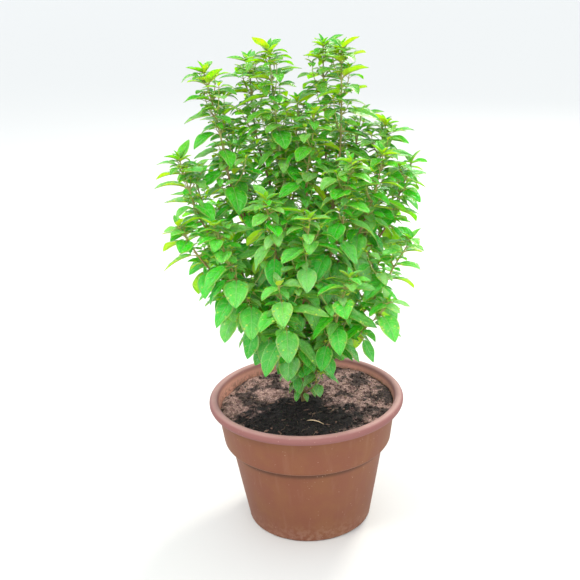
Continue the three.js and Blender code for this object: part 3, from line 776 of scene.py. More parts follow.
@dataclass
class Pot:
    """The moulded pot: rolled rim, band, step, tapered body and a foot with drainage."""

    height: float = 209.5
    rim_radius: float = 152.5
    roll_radius: float = 7.2
    wall: float = 2.6
    band_top_radius: float = 139.6
    band_foot_radius: float = 132.0
    band_foot_height: float = 135.4
    body_top_radius: float = 121.5
    foot_radius: float = 98.4
    floor_thickness: float = 4.6
    step_rise: float = 6.0
    step_bevel: float = 3.0
    foot_bevel: float = 2.2
    floor_bevel: float = 3.0
    ring_inside: float = 46.0
    ring_outside: float = 80.0
    ring_rise: float = 2.2
    holes: int = 8
    hole_radius: float = 6.0
    hole_sides: int = 28
    notch_width: float = 12.0
    notch_depth: float = 1.9
    outer_rounding: float = 2.4
    inner_rounding: float = 3.0
    roll_end: float = -42.0
    sides: int = 160
    sharp_angle: float = 40.0
    finish: PotFinish = field(default_factory=PotFinish)

    @property
    def under_roll(self) -> float:
        """Height at which the roll of the rim starts."""
        return self.height - 2 * self.roll_radius

    def roll(self, radius: float, start: float, end: float, steps: int) -> list[Span]:
        """Points on the roll of the rim.

        Args:
            radius: Distance from the middle of the roll.
            start: First angle, in degrees.
            end: Last angle, in degrees.
            steps: Number of points.

        Returns:
            Radius and height of each point.
        """
        across, up = self.rim_radius - self.roll_radius, self.height - self.roll_radius
        angles = np.radians(np.linspace(start, end, steps))
        return [(across + radius * cos(angle), up + radius * sin(angle)) for angle in angles]

    def profile(self) -> list[Span]:
        """Section of the pot, from the axis below, up the outside and down the inside.

        Returns:
            Radius and height of each point.
        """
        under_roll, step, inner_foot = self.under_roll, self.band_foot_height, self.foot_radius - self.wall
        outside = soften([
            (0, 0), (self.ring_inside, 0), (self.ring_inside + self.ring_rise, self.ring_rise),
            (self.ring_outside - self.ring_rise, self.ring_rise), (self.ring_outside, 0),
            (self.foot_radius - self.foot_bevel, 0), (self.foot_radius, self.foot_bevel),
            (mix(self.foot_radius, self.body_top_radius, 0.5), step / 2), (self.body_top_radius, step - 1),
            (self.band_foot_radius - self.step_bevel, step), (self.band_foot_radius, step + self.step_bevel),
            (mix(self.band_foot_radius, self.band_top_radius, 0.5), mix(step, under_roll, 0.5)),
            (self.band_top_radius, under_roll),
        ], self.outer_rounding)
        inner_roll = self.roll(self.roll_radius - self.wall, 170, self.roll_end, 14)
        outer_roll = self.roll(self.roll_radius, self.roll_end, 180, 20)
        inside = soften([
            (self.rim_radius - 2 * self.roll_radius, self.height - self.roll_radius),
            (self.band_top_radius - self.wall, under_roll),
            (self.band_foot_radius - self.wall, step + self.step_rise),
            (self.body_top_radius - self.wall, step + 1),
            (inner_foot, self.floor_thickness + self.floor_bevel),
            (inner_foot - self.floor_bevel, self.floor_thickness), (0, self.floor_thickness),
        ], self.inner_rounding)
        return outside + inner_roll + outer_roll + inside[1:]

    def cutter(self) -> bpy.types.Object:
        """Makes what is cut out of the foot.

        Returns:
            The drainage holes and the notches, as one form.
        """
        parts = MeshParts()
        reach = UP * 9
        section = [(-1, -4), (1, -4), (1, 0.6), (0.75, 1), (-0.75, 1), (-1, 0.6)]
        for index in range(self.holes):
            angle = 2 * pi * (index + 0.5) / self.holes
            across = np.array([cos(angle), sin(angle), 0])
            centre = across * (self.ring_inside + self.ring_outside) / 2
            line = np.array([centre - reach, centre + reach])
            parts.add_tube(line, np.full(2, self.hole_radius), self.hole_sides)
            if index % 2:
                aside = np.cross(UP, across) * self.notch_width / 2
                ends = (across * (self.ring_outside + 4), across * (self.foot_radius + 9))
                rows = [[end + aside * s + UP * (self.notch_depth * h) for s, h in section] for end in ends]
                parts.add(np.array(rows).reshape(-1, 3), tube_faces(2, len(section)))
        return parts.make("drainage", [])

    def build(self) -> None:
        """Makes and dresses the pot, and keeps the edges of the cuts sharp."""
        parts = MeshParts()
        parts.add(*lathe(self.profile(), self.sides))
        piece = parts.make("terracotta_pot", [self.finish.make()])
        carve(piece, self.cutter())
        piece.data.set_sharp_from_angle(angle=radians(self.sharp_angle))
        place_piece(piece, Slot.POT, "pot")


def icosahedron() -> tuple[np.ndarray, Faces]:
    """The regular body with 20 faces.

    Returns:
        Its corners, at a distance of 1 from the middle, and its faces.
    """
    golden = (1 + 5 ** 0.5) / 2
    corners = np.array([(a * 1.0, b * golden, 0.0) for a in (-1, 1) for b in (-1, 1)])
    corners = np.concatenate([corners, corners[:, [2, 0, 1]], corners[:, [1, 2, 0]]])
    corners /= np.linalg.norm(corners[0])
    reach = np.linalg.norm(corners[:, None] - corners[None], axis=2)
    near = (reach < 1.2) & (reach > 0.1)
    faces = []
    for a, b, c in combinations(range(len(corners)), 3):
        if near[a, b] and near[b, c] and near[a, c]:
            normal = np.cross(corners[b] - corners[a], corners[c] - corners[a])
            faces.append([a, b, c] if normal @ corners[a] > 0 else [a, c, b])
    return corners, faces


@dataclass
class Soil:
    """The potting mix in the pot, with crumbs, bark chips, roots and straw on it."""

    pot: Pot
    level: float = 190.0
    dome: float = 5.0
    tilt: float = 4.5
    ripple: float = 2.2
    edge: float = 136.0
    floor: float = 4.9
    bevel: float = 3.0
    shoulder: float = 170.0
    gap: float = 0.35
    sides: int = 180
    rings: int = 64
    ring_crowding: float = 0.85
    lump_size: float = 14.0
    lump_height: float = 1.3
    clod_size: float = 6.0
    clod_height: float = 0.9
    crumbs: int = 2400
    crumb_least: float = 0.7
    crumb_growth: float = 2.6
    crumb_unevenness: float = 0.24
    crumb_flatness: Span = (0.6, 0.95)
    crumb_rise: float = 0.3
    crumb_margin: float = 7.0
    chips: int = 130
    chip_length: Span = (4, 13)
    chip_width: Span = (1.6, 4.2)
    chip_thickness: Span = (0.5, 1.3)
    chip_outline: tuple[float, ...] = (0.35, 0.9, 1.0, 0.8, 0.3)
    chip_stretch: Span = (0.8, 1.2)
    chip_arch: Span = (-0.7, 0.7)
    chip_tilt: Span = (0.22, 0.16)
    chip_rise: float = 0.7
    chip_margin: float = 12.0
    roots: int = 60
    root_length: Span = (6, 22)
    root_radius: Span = (0.18, 0.36)
    root_bend: float = 0.9
    root_arch: Span = (0, 1.2)
    root_outline: tuple[float, ...] = (0.5, 0.9, 1, 1, 0.9, 0.7, 0.4)
    root_edge: float = 6.0
    root_margin: float = 14.0
    sliver_start: Span = (-1.0, -64.0)
    sliver_end: Span = (24.0, -78.0)
    sliver_bow: float = 3.2
    sliver_rise: float = 1.3
    sliver_width: float = 1.7
    sliver_steps: int = 15
    sliver_lift: float = 0.9
    seed: int = 11
    finish: SoilFinish = field(default_factory=SoilFinish)

    TURN = 6.3

    def height(self, x: float, y: float) -> float:
        """Height of the surface of the solid soil.

        Args:
            x: Place to the right of the axis.
            y: Place behind the axis.

        Returns:
            The height there.
        """
        dome = self.dome * (1 - (x * x + y * y) / (self.edge * self.edge)) + self.tilt * (x + y) / self.edge
        long_wave = sin(x / 23 + 1.3) * cos(y / 19 - 0.4)
        short_wave = sin(x / 9.5 - y / 12 + 2.1) * sin(y / 10.5 + x / 31)
        return self.level + dome + self.ripple * (long_wave + 0.6 * short_wave)

    def crumbled(self, x: float, y: float) -> float:
        """Height of the surface with its lumps and crumbs.

        Args:
            x: Place to the right of the axis.
            y: Place behind the axis.

        Returns:
            The height there.
        """
        lumps = noise.fractal(Vector((x / self.lump_size, y / self.lump_size, 3.1)), 0.9, 2.1, 4)
        clods = noise.hetero_terrain(Vector((x / self.clod_size, y / self.clod_size, 7.7)), 0.8, 2.2, 3, 0.4)
        return self.height(x, y) + self.lump_height * lumps + self.clod_height * (clods - 0.6)

    def limit(self, height: float) -> float:
        """How far the soil reaches inside the pot's band.

        Args:
            height: Height on the band.

        Returns:
            The soil's radius there.
        """
        pot = self.pot
        foot = pot.band_foot_height + pot.step_rise
        part = (height - foot) / (pot.under_roll - foot)
        wall = mix(pot.band_foot_radius, pot.band_top_radius, part) - pot.wall
        return min(wall, pot.rim_radius - 2 * pot.roll_radius) - self.gap

    def filling(self, stem_hole: bpy.types.Object) -> None:
        """Makes and dresses the body of soil.

        Args:
            stem_hole: The hole that the main stem stands in.
        """
        pot, inner = self.pot, self.pot.wall + self.gap
        profile = [
            (0, self.floor), (pot.foot_radius - inner - self.bevel, self.floor),
            (pot.foot_radius - inner, self.floor + self.bevel),
            (pot.body_top_radius - inner, pot.band_foot_height + 1),
            (pot.band_foot_radius - inner, pot.band_foot_height + pot.step_rise),
            (self.limit(self.shoulder), self.shoulder),
        ]
        shares = np.linspace(1, 0, self.rings) ** self.ring_crowding
        profile += [(self.edge * share, self.level) for share in shares]
        points, faces = lathe(profile, self.sides)
        for index in np.flatnonzero(points[:, 2] > self.level - 1):
            x, y, _ = points[index]
            points[index, 2] = self.crumbled(x, y)
            limit = self.limit(points[index, 2])
            if hypot(x, y) > limit:
                points[index, :2] *= limit / hypot(x, y)
        parts = MeshParts()
        parts.add(points, faces)
        piece = parts.make("soil_filling", [self.finish.make()])
        carve(piece, stem_hole)
        place_piece(piece, Slot.SOIL, "soil")

    def spots(self, count: int, draws: np.random.Generator, margin: float) -> np.ndarray:
        """Places on the soil.

        Args:
            count: How many.
            draws: Where they are drawn from.
            margin: How far they stay from the edge.

        Returns:
            Their x and y.
        """
        radius = np.sqrt(draws.uniform(0.004, 1, count)) * (self.edge - margin)
        angle = draws.uniform(0, 2 * pi, count)
        return np.stack([radius * np.cos(angle), radius * np.sin(angle)], axis=1)

    def lumps(self) -> None:
        """Makes the loose crumbs: small lumps pressed into the surface."""
        draws = np.random.default_rng(self.seed)
        corners, faces = icosahedron()
        parts = MeshParts()
        rough = self.crumb_unevenness
        for x, y in self.spots(self.crumbs, draws, self.crumb_margin):
            size = self.crumb_least + self.crumb_growth * draws.power(0.55) ** 2.2
            shape = corners * (1 + draws.uniform(-rough, rough, (len(corners), 1)))
            turn = np.array(Matrix.Rotation(draws.uniform(0, self.TURN), 3, Vector(draws.normal(size=3))))
            lump = shape @ turn * size * np.array([1.0, 1.0, draws.uniform(*self.crumb_flatness)])
            parts.add(lump + np.array([x, y, self.crumbled(x, y) + size * self.crumb_rise]), faces)
        place_piece(parts.make("soil_crumbs", [CRUMB.make()]), Slot.SOIL)

    def bark(self) -> None:
        """Makes the flat bark chips that lie in the surface."""
        draws = np.random.default_rng(self.seed + 1)
        parts = MeshParts()
        along = np.linspace(-0.5, 0.5, len(self.chip_outline))
        section = ((-1, -1), (1, -1), (1, 1), (-1, 1))
        for x, y in self.spots(self.chips, draws, self.chip_margin):
            sizes = (self.chip_length, self.chip_width, self.chip_thickness)
            length, width, thick = (draws.uniform(*size) for size in sizes)
            stretch = draws.uniform(*self.chip_stretch, len(along))
            half = width / 2 * np.array(self.chip_outline) * stretch
            arch = draws.uniform(*self.chip_arch) * (1 - 4 * along ** 2)
            rows = [[(a * length, s * w, t * thick / 2 + h) for s, t in section]
                    for a, w, h in zip(along, half, arch)]
            angles = [draws.uniform(0, self.TURN)] + [draws.normal(0, tilt) for tilt in self.chip_tilt]
            turn_z, turn_x, turn_y = (Matrix.Rotation(angle, 3, axis) for angle, axis in zip(angles, "ZXY"))
            turned = np.array(rows).reshape(-1, 3) @ np.array(turn_z @ turn_x @ turn_y).T
            place = np.array([x, y, self.crumbled(x, y) + self.chip_rise])
            parts.add(turned + place, tube_faces(len(along), 4), traits=(0.3, draws.uniform(0, 1)))
        place_piece(parts.make("bark_chips", [BARK.make()]), Slot.SOIL)

    def fibres(self) -> None:
        """Makes the dry roots and straws: thin bent threads."""
        draws = np.random.default_rng(self.seed + 2)
        parts = MeshParts()
        share = np.linspace(-0.5, 0.5, len(self.root_outline))
        for x, y in self.spots(self.roots, draws, self.root_margin):
            length, heading = draws.uniform(*self.root_length), draws.uniform(0, 2 * pi)
            angle = heading + draws.uniform(-self.root_bend, self.root_bend) * share
            path_x = x + share * length * np.cos(angle)
            path_y = y + share * length * np.sin(angle)
            if not (np.hypot(path_x, path_y) < self.edge - self.root_edge).all():
                continue
            rise = 0.5 + draws.uniform(*self.root_arch) * np.sin(np.linspace(0, pi, len(share)))
            height = [self.crumbled(a, b) + c for a, b, c in zip(path_x, path_y, rise)]
            radius = draws.uniform(*self.root_radius) * np.array(self.root_outline)
            line = np.stack([path_x, path_y, height], axis=1)
            parts.add_tube(line, radius, 4, traits=(0.2, draws.uniform(0, 1)))
        place_piece(parts.make("dry_fibres", [STRAW.make()]), Slot.SOIL)

    def sliver(self) -> None:
        """Makes the pale dry sliver that lies at the front."""
        share = np.linspace(0, 1, self.sliver_steps)
        swell = np.sin(share * pi)
        x, y = (mix(start, end, share) for start, end in zip(self.sliver_start, self.sliver_end))
        y = y + self.sliver_bow * swell
        top = max(self.crumbled(a, b) for a, b in zip(x, y))
        height = top + self.sliver_lift + self.sliver_rise * swell
        half = self.sliver_width * np.sin(np.clip(share, 0.05, 0.95) * pi) ** 0.6
        rows = [[(a, b - w, h + 0.5), (a, b, h - 0.3), (a, b + w, h + 0.6), (a, b, h + 0.3)]
                for a, b, h, w in zip(x, y, height, half)]
        parts = MeshParts()
        parts.add(np.array(rows).reshape(-1, 3), tube_faces(len(rows), 4), traits=(0.1, 1.0))
        place_piece(parts.make("dry_sliver", [SLIVER.make()]), Slot.SOIL)


# Stems and leaves

# The stream of draws: factor, step and range of its state, and how many draws are passed over
DRAW_FACTOR = 1664525
DRAW_STEP = 1013904223
DRAW_RANGE = 2 ** 32
DRAWS_PASSED = 4


def make_draw(seed: int) -> Draw:
    """A repeatable stream of draws from 0 up to 1, the same as in the solids.

    Args:
        seed: Where the stream starts.

    Returns:
        The function that gives the next draw.
    """
    state = seed

    def draw() -> float:
        """Moves on in the stream.

        Returns:
            The next draw.
        """
        nonlocal state
        state = (DRAW_FACTOR * state + DRAW_STEP) % DRAW_RANGE
        return state / DRAW_RANGE

    for _ in range(DRAWS_PASSED):
        draw()
    return draw


def in_radians(**angles: float) -> dict[str, float]:
    """Named angles in radians, from degrees."""
    return {name: radians(angle) for name, angle in angles.items()}


def outward(direction: float) -> np.ndarray:
    """The level direction at an angle in radians."""
    return np.array([cos(direction), sin(direction), 0])


class StemPath:
    """Centre line of a stem: a cubic curve from root to tip, with a slight sway."""

    STEPS = 200
    SWAY_ALONG, SWAY_ACROSS = 7, 9

    def __init__(self, root: np.ndarray, tip: np.ndarray, bow: float, draw: Draw) -> None:
        """Lays the line.

        Args:
            root: Where it starts.
            tip: Where it ends.
            bow: How early it spreads.
            draw: Draws for its sway.
        """
        reach = tip - root
        spread, flat = (1 + bow) / 2, hypot(reach[0], reach[1])
        self.ends = [root, root + reach * (bow, bow, 0.2), root + reach * (spread, spread, 0.6), tip]
        self.along = np.array([reach[0], reach[1], 0]) / flat
        self.across = np.array([-reach[1], reach[0], 0]) / flat
        self.sway = STEM_SWAY * (0.5 + draw())
        self.phase = 2 * pi * draw()
        self.parts = np.linspace(0, 1, self.STEPS + 1)
        steps = np.linalg.norm(np.diff(self.curve(self.parts), axis=0), axis=1)
        self.lengths = np.concatenate([[0], np.cumsum(steps)])
        self.length = float(self.lengths[-1])

    def curve(self, part: np.ndarray) -> np.ndarray:
        """Points of the curve.

        Args:
            part: Parts of the curve's own measure.

        Returns:
            The points, one for each part.
        """
        t = np.asarray(part, float)[:, None]
        a, b, c, d = self.ends
        points = (1 - t) ** 3 * a + 3 * (1 - t) ** 2 * t * b + 3 * (1 - t) * t * t * c + t ** 3 * d
        swing = self.sway * np.sin(pi * t)
        points = points + self.across * swing * np.sin(self.SWAY_ACROSS * t + self.phase)
        return points + self.along * swing * np.cos(self.SWAY_ALONG * t + self.phase)

    def points(self, share: Any) -> np.ndarray:
        """Points at shares of the length."""
        length = np.asarray(np.atleast_1d(share), float) * self.length
        return self.curve(np.interp(length, self.lengths, self.parts))


@dataclass(frozen=True)
class Habit:
    """How leaves of an age stand: parts of the length, and angles in degrees."""

    stalk: float
    width: float
    lift: float
    neck: float
    droop: float
    fold: float


def arc(start: float, end: float, length: float, along: np.ndarray) -> tuple[np.ndarray, ...]:
    """How far a line gets along an arc that turns at an even rate.

    Args:
        start: Angle at its start.
        end: Angle at its end.
        length: Length of the arc.
        along: Lengths along it.

    Returns:
        Angle, way forward and way up at each length.
    """
    bend = (end - start) / length
    angle = start + bend * along
    return angle, (np.sin(angle) - sin(start)) / bend, (cos(start) - np.cos(angle)) / bend


@dataclass
class Leaf:
    """One leaf: its stalk bends down to the neck, its blade droops on, and its halves fold up."""

    place: np.ndarray
    direction: float
    length: float
    petiole: float
    width: float
    lift: float
    neck: float
    droop: float
    fold: float
    roll: float
    tone: float
    chance: float
    start: float = 0.0
    rows: int = 12
    columns: int = 7
    lobe: float = 0.0
    steepest: float = radians(56)

    THICKNESS = 0.4
    NECK_DROP = radians(6)
    LARGE_ROWS = 10
    EDGE_CROWDING = 1.15
    OUTLINE_START = 0.012
    OUTLINE_RISE = 0.46
    OUTLINE_FALL = 0.88
    OUTLINE_PEAK = 0.4275
    OUTLINE_LEAST = 0.022
    LOBE_REACH = 0.3
    BULGE = 0.16
    EDGE_DROP = 0.14
    QUILT = 0.011
    WAVE = 0.035
    WAVES = 9
    STALK_RADIUS = 0.5
    STALK_GROWTH = 0.011
    RIB = (0.14, 0.9)

    def bent(self, turn: float, lift: float, size: float) -> "Leaf":
        """The leaf, bent another way.

        Args:
            turn: Turn about the stem, in degrees.
            lift: Rise, in degrees.
            size: Size beside the whole leaf.

        Returns:
            The bent leaf.
        """
        rise = radians(lift)
        return replace(
            self, direction=self.direction + radians(turn), lift=min(self.lift + rise, self.steepest),
            neck=min(self.neck + rise, self.steepest - self.NECK_DROP), droop=self.droop + rise,
            length=self.length * size, width=self.width * size,
        )

    def frames(self, part: Any) -> tuple[np.ndarray, ...]:
        """Points of the middle line with their sideways and upward directions.

        Args:
            part: Parts of the length, in any shape.

        Returns:
            Centres, sideways directions and upward directions.
        """
        part = np.asarray(part, float)[..., None]
        out = outward(self.direction)
        side = np.cross(UP, out)
        along = part * self.length
        stalk = arc(self.lift, self.neck, self.petiole, np.minimum(along, self.petiole))
        blade = arc(self.neck, self.droop, self.length - self.petiole, np.maximum(along - self.petiole, 0))
        angle = np.where(along > self.petiole, blade[0], stalk[0])
        above = -np.sin(angle) * out + np.cos(angle) * UP
        turn = self.roll * part
        centre = self.place + out * (stalk[1] + blade[1]) + UP * (stalk[2] + blade[2])
        return centre, side * np.cos(turn) + above * np.sin(turn), above * np.cos(turn) - side * np.sin(turn)

    def tip(self) -> np.ndarray:
        """The upper corner of the solid leaf's tip."""
        centre, _, above = self.frames(1.0)
        return centre + above * SOLID_THICKNESS / 2

    def blade(self, rows: int, columns: int) -> tuple[np.ndarray, ...]:
        """The middle surface of the blade.

        Args:
            rows: Rows from base to tip.
            columns: Points across.

        Returns:
            Points, upward directions and map places, each in rows.
        """
        along, across = np.meshgrid(np.linspace(0, 1, rows), np.linspace(-1, 1, columns), indexing="ij")
        across = np.sign(across) * np.abs(across) ** self.EDGE_CROWDING
        reach = np.abs(across)
        rise = (along + self.OUTLINE_START) ** self.OUTLINE_RISE
        ovate = rise * np.clip(1 - along, 0, 1) ** self.OUTLINE_FALL / self.OUTLINE_PEAK
        half = self.width / 2 * np.maximum(ovate, self.OUTLINE_LEAST)
        near_base = np.clip(1 - along / self.LOBE_REACH, 0, 1) ** 2
        back = self.lobe * near_base * np.sin(pi * np.clip(reach, 0, 1) ** 0.8)
        stalk = self.petiole / self.length
        centre, side, above = self.frames(stalk + (1 - stalk) * (along - back))
        bulge = self.BULGE * half * np.sin(pi * reach) - self.EDGE_DROP * half * reach ** 3
        veins = np.cos(2 * pi * vein_phase(along, reach, self.chance))
        quilt = self.QUILT * self.width * veins * np.sin(pi * np.clip(reach, 0, 1))
        swing = np.sin(along * self.WAVES + self.chance * 20 + np.sign(across))
        wave = self.WAVE * self.width * swing * reach ** 2
        height = reach * half * sin(self.fold) + bulge - quilt + wave * np.sin(pi * along)
        points = centre + side * (across * half * cos(self.fold))[..., None]
        return points + above * height[..., None], above, np.stack([along, across * 0.5 + 0.5], axis=-1)

    def sheet(self, rows: int = 6, columns: int = 5) -> tuple[list[list[float]], Faces]:
        """A coarse surface of the blade, to test whether it is clear of others."""
        return self.blade(rows, columns)[0].reshape(-1, 3).tolist(), grid_faces(rows, columns)

    def add_to(self, parts: MeshParts, stem_slot: int, top_slot: int, under_slot: int) -> None:
        """Adds the blade, its stalk and its midrib to a piece.

        Args:
            parts: The piece.
            stem_slot: Material slot of the stalk.
            top_slot: Material slot of the upper side.
            under_slot: Material slot of the lower side.
        """
        rows, columns = self.rows, self.columns
        size, start = rows * columns, parts.count
        middle, above, place = self.blade(rows, columns)
        thin = self.THICKNESS / 2 * (1 - 0.5 * np.abs(place[..., 1:] * 2 - 1))
        points = np.concatenate([middle + above * thin, middle - above * thin]).reshape(-1, 3)
        maps = np.tile(place.reshape(-1, 2), (2, 1)), (self.tone, self.chance)
        parts.add(points, grid_faces(rows, columns, flip=True), top_slot, *maps)
        parts.add_faces(grid_faces(rows, columns), under_slot, start + size)
        loop = [*range(columns), *range(2 * columns - 1, size, columns),
                *range(size - 2, size - columns - 1, -1), *range(size - 2 * columns, 0, -columns)]
        rim = [[b, a, a + size, b + size] for a, b in zip(loop, loop[1:] + loop[:1])]
        parts.add_faces(rim, under_slot, start)
        self.add_stalk(parts, stem_slot)

    def add_stalk(self, parts: MeshParts, slot: int) -> None:
        """Adds the stalk, which runs on under the blade as its midrib.

        Args:
            parts: The piece.
            slot: Its material slot.
        """
        large = self.rows > self.LARGE_ROWS
        sides, stalk_rings, rib_rings, slim = (5, 4, 5, 1.0) if large else (3, 2, 2, 0.62)
        stalk = self.petiole / self.length
        first = min(self.start / self.length, stalk * 0.5)
        share = np.concatenate([np.linspace(first, stalk, stalk_rings),
                                stalk + (1 - stalk) * np.linspace(*self.RIB, rib_rings)])
        centre, _, above = self.frames(share)
        beyond = np.clip((share - stalk) / (1 - stalk), 0, 1)
        taper = np.where(beyond > 0, 0.55 * (1 - beyond) + 0.1, 1 + 0.25 * (1 - share / max(stalk, 0.01)))
        radius = (self.STALK_RADIUS + self.STALK_GROWTH * self.length) * slim * taper
        centre = centre - above * (self.THICKNESS / 2 + radius * 0.35 * (beyond > 0))[:, None]
        around = np.tile(np.arange(sides) / sides, len(share))
        parts.add_tube(centre, radius, sides, slot, np.column_stack([np.full(len(around), 0.15), around]))


@dataclass(frozen=True)
class StemPlan:
    """A stem as the solids have it: parent, place, tip, radius, bow, bare part and leaf length."""

    name: str
    parent: str
    at: float
    tip: tuple[float, float, float]
    radius: float
    bow: float
    bare: float
    low_leaf: float


@dataclass(frozen=True)
class LeafPair:
    """Two leaves that stand opposite each other."""

    at: float
    age: float
    in_solid: bool
    leaves: list[Leaf]


# The rule of the solids: sizes, spacing and stand of the leaves, in millimetres and degrees
SOLID_THICKNESS = 0.8
TIP_TOLERANCE = 0.04
STEM_SWAY = 3.0
STEM_TIP_RADIUS = 1.0
STEM_TAPER = 0.8
STEM_SEED = 7919
LEAF_SEED = 4096
PAIR_SPACING = 25.0
PAIR_CROWDING = 1.15
PAIR_CYCLE = 3
TIP_LEAF_LENGTH = 29.0
GROWN_DISTANCE = 30.0
RIPENING = 0.68
SHADE_TOP = 560.0
SHADE_DEPTH = 240.0
SHADE_RIPENESS = 0.75
OUTWARD_TURN = 28.0
PAIR_STREAMS = 16
YOUNG = Habit(stalk=0.08, width=0.54, lift=55, neck=50, droop=34, fold=32)
OLD = Habit(stalk=0.42, width=0.76, lift=22, neck=-46, droop=-74, fold=9)
SPREAD = {"turn": 20, "length": 0.14, "width": 0.1, "lift": 13, "droop": 17, "roll": 32}
BENDS = (
    (0, 0, 1), (14, 6, 1), (-14, 6, 1), (0, 18, 0.95), (0, -16, 0.95), (26, 12, 0.9), (-26, 12, 0.9),
    (36, -14, 0.85), (-36, -14, 0.85), (12, 34, 0.8), (-12, 34, 0.8),
    (0, 0, 0.7), (24, 10, 0.7), (-24, 10, 0.7), (0, -30, 0.7), (44, 20, 0.65), (-44, 20, 0.65),
)
MAIN_STEM = StemPlan("main_stem", "", 0, (-35, -10, 737), 5.4, 0.12, 0.6, 38)
MAIN_ROOT = (1, 2, 128)
SIDE_STEMS = tuple(StemPlan(*plan) for plan in (
    ("right_tall", "main_stem", 0.36, (67, 8, 734), 3.2, 0.86, 0.3, 42),
    ("left_tall", "main_stem", 0.42, (-127, 2, 710), 2.8, 0.62, 0.3, 42),
    ("right_rear_tall", "right_tall", 0.3, (44, 62, 735), 2, 0.7, 0.3, 38),
    ("left_rear_tall", "main_stem", 0.56, (-66, 50, 718), 2.2, 0.7, 0.3, 38),
    ("left_rear_mid", "left_tall", 0.34, (-106, 60, 642), 1.8, 0.3, 0.3, 38),
    ("far_left", "main_stem", 0.33, (-168, -20, 592), 2.5, 0.66, 0.36, 44),
    ("centre_rear", "main_stem", 0.6, (4, 62, 655), 2, 0.6, 0.25, 36),
    ("centre_front", "main_stem", 0.52, (24, -34, 650), 2, 0.7, 0.3, 38),
    ("right_mid", "right_tall", 0.42, (96, 42, 635), 1.8, 0.6, 0.25, 36),
    ("right_high", "main_stem", 0.31, (131, 30, 622), 2.6, 0.74, 0.4, 42),
    ("right_front_high", "right_tall", 0.16, (120, -34, 590), 2, 0.7, 0.35, 40),
    ("right_front_mid", "main_stem", 0.4, (72, -72, 588), 2.2, 0.7, 0.35, 42),
    ("far_right", "right_high", 0.42, (168, 22, 566), 1.8, 0.55, 0.25, 38),
    ("far_right_rear", "right_high", 0.3, (160, 78, 545), 1.8, 0.55, 0.3, 40),
    ("far_right_low", "main_stem", 0.24, (160, -44, 468), 2.3, 0.5, 0.4, 44),
    ("right_low", "far_right_low", 0.15, (122, -80, 386), 1.6, 0.62, 0.3, 42),
    ("left_front_high", "main_stem", 0.45, (-46, -106, 548), 2.1, 0.66, 0.4, 40),
    ("centre_front_mid", "main_stem", 0.35, (12, -112, 522), 2.1, 0.62, 0.4, 46),
    ("left_front_mid", "main_stem", 0.25, (-120, -92, 512), 2.3, 0.52, 0.4, 46),
    ("far_left_mid", "far_left", 0.3, (-172, -66, 506), 1.8, 0.5, 0.3, 42),
    ("left_low", "left_front_mid", 0.22, (-138, -58, 428), 1.7, 0.45, 0.3, 44),
    ("front_low", "main_stem", 0.22, (-34, -118, 430), 2, 0.5, 0.36, 48),
    ("right_front_low", "main_stem", 0.2, (66, -112, 436), 2, 0.5, 0.38, 47),
    ("right_foot", "main_stem", 0.16, (52, -44, 334), 1.6, 0.45, 0.4, 30),
    ("left_foot", "main_stem", 0.17, (-58, -32, 342), 1.6, 0.45, 0.4, 34),
    ("rear_foot", "main_stem", 0.17, (6, 74, 344), 1.6, 0.45, 0.36, 34),
    ("front_foot", "main_stem", 0.15, (-4, -52, 312), 1.6, 0.45, 0.36, 27),
    ("lowest", "main_stem", 0.13, (22, -30, 256), 1.3, 0.45, 0.3, 22),
    ("rear_tall", "main_stem", 0.47, (-14, 128, 640), 2.3, 0.66, 0.34, 40),
    ("left_back_high", "left_tall", 0.2, (-84, 128, 600), 2, 0.6, 0.34, 42),
    ("right_back_high", "main_stem", 0.38, (74, 128, 604), 2.3, 0.66, 0.36, 42),
    ("far_left_rear", "main_stem", 0.28, (-160, 66, 560), 2.4, 0.6, 0.36, 44),
    ("left_back_mid", "far_left_rear", 0.24, (-128, 122, 486), 1.8, 0.5, 0.3, 42),
    ("rear_mid", "main_stem", 0.29, (8, 160, 512), 2.2, 0.6, 0.36, 44),
    ("right_back_mid", "main_stem", 0.27, (112, 128, 486), 2.2, 0.58, 0.36, 44),
    ("left_rear_low", "main_stem", 0.21, (-112, 84, 400), 1.9, 0.5, 0.36, 44),
    ("right_rear_low", "main_stem", 0.19, (128, 62, 410), 1.9, 0.5, 0.36, 44),
    ("rear_low", "main_stem", 0.23, (-46, 132, 404), 1.9, 0.5, 0.36, 44),
))

# Brightness of a leaf: the least, the painted light that height adds from where and over which rise, and what
# youth adds
LEAST_TONE = 0.36
HEIGHT_PAINTED_LIGHT = 0.06
BRIGHT_FROM = 420
BRIGHT_RISE = 300
YOUNG_TONE = 0.2

# Where a stalk starts inside its stem, as a part of the radius, and how far old leaves' bases reach back
STALK_START = 0.6
LOBE = 0.05
LOBE_GROWTH = 1.6

# Rings of a stem: their spacing, the rings beside a pair, the least gap, the swelling at a pair, how many
# there are and their sides, how hollow the sides are, and the bark's age at the foot and its fall
RING_SPACING = 6
RINGS_BESIDE = (-1.6, 0, 1.6)
RING_GAP = 0.7
SWELLING = 0.22
SWELLING_REACH = 2.2
FEWEST_RINGS = 12
TEST_RINGS = 24
STEM_SIDES = {Slot.WOOD: 12, Slot.LEAF: 8}
STEM_HOLLOW = -0.08
FOOT_AGE = 1.15
AGE_FALL = 1.1

# How low added leaves may hang: distances from the axis, and the lowest height at each
BUSH_SKIRT = ((10.0, 32.0, 45.0, 95.0, 120.0), (200.0, 228.0, 258.0, 265.0, 305.0))
FOOT_SKIRT = ((0.0, 42.0, 60.0), (199.0, 200.5, 240.0))

# Leaves on the part that the solids leave bare: spacing, clear length at the root, and sizes at heights
INNER_SPACING = PAIR_SPACING * 0.92
INNER_START = 0.7
INNER_ROOM = 34.0
MAIN_BARE_SHARE = 0.125
INNER_SIZES = ((200, 270, 340), (0.58, 0.6, 1.0))

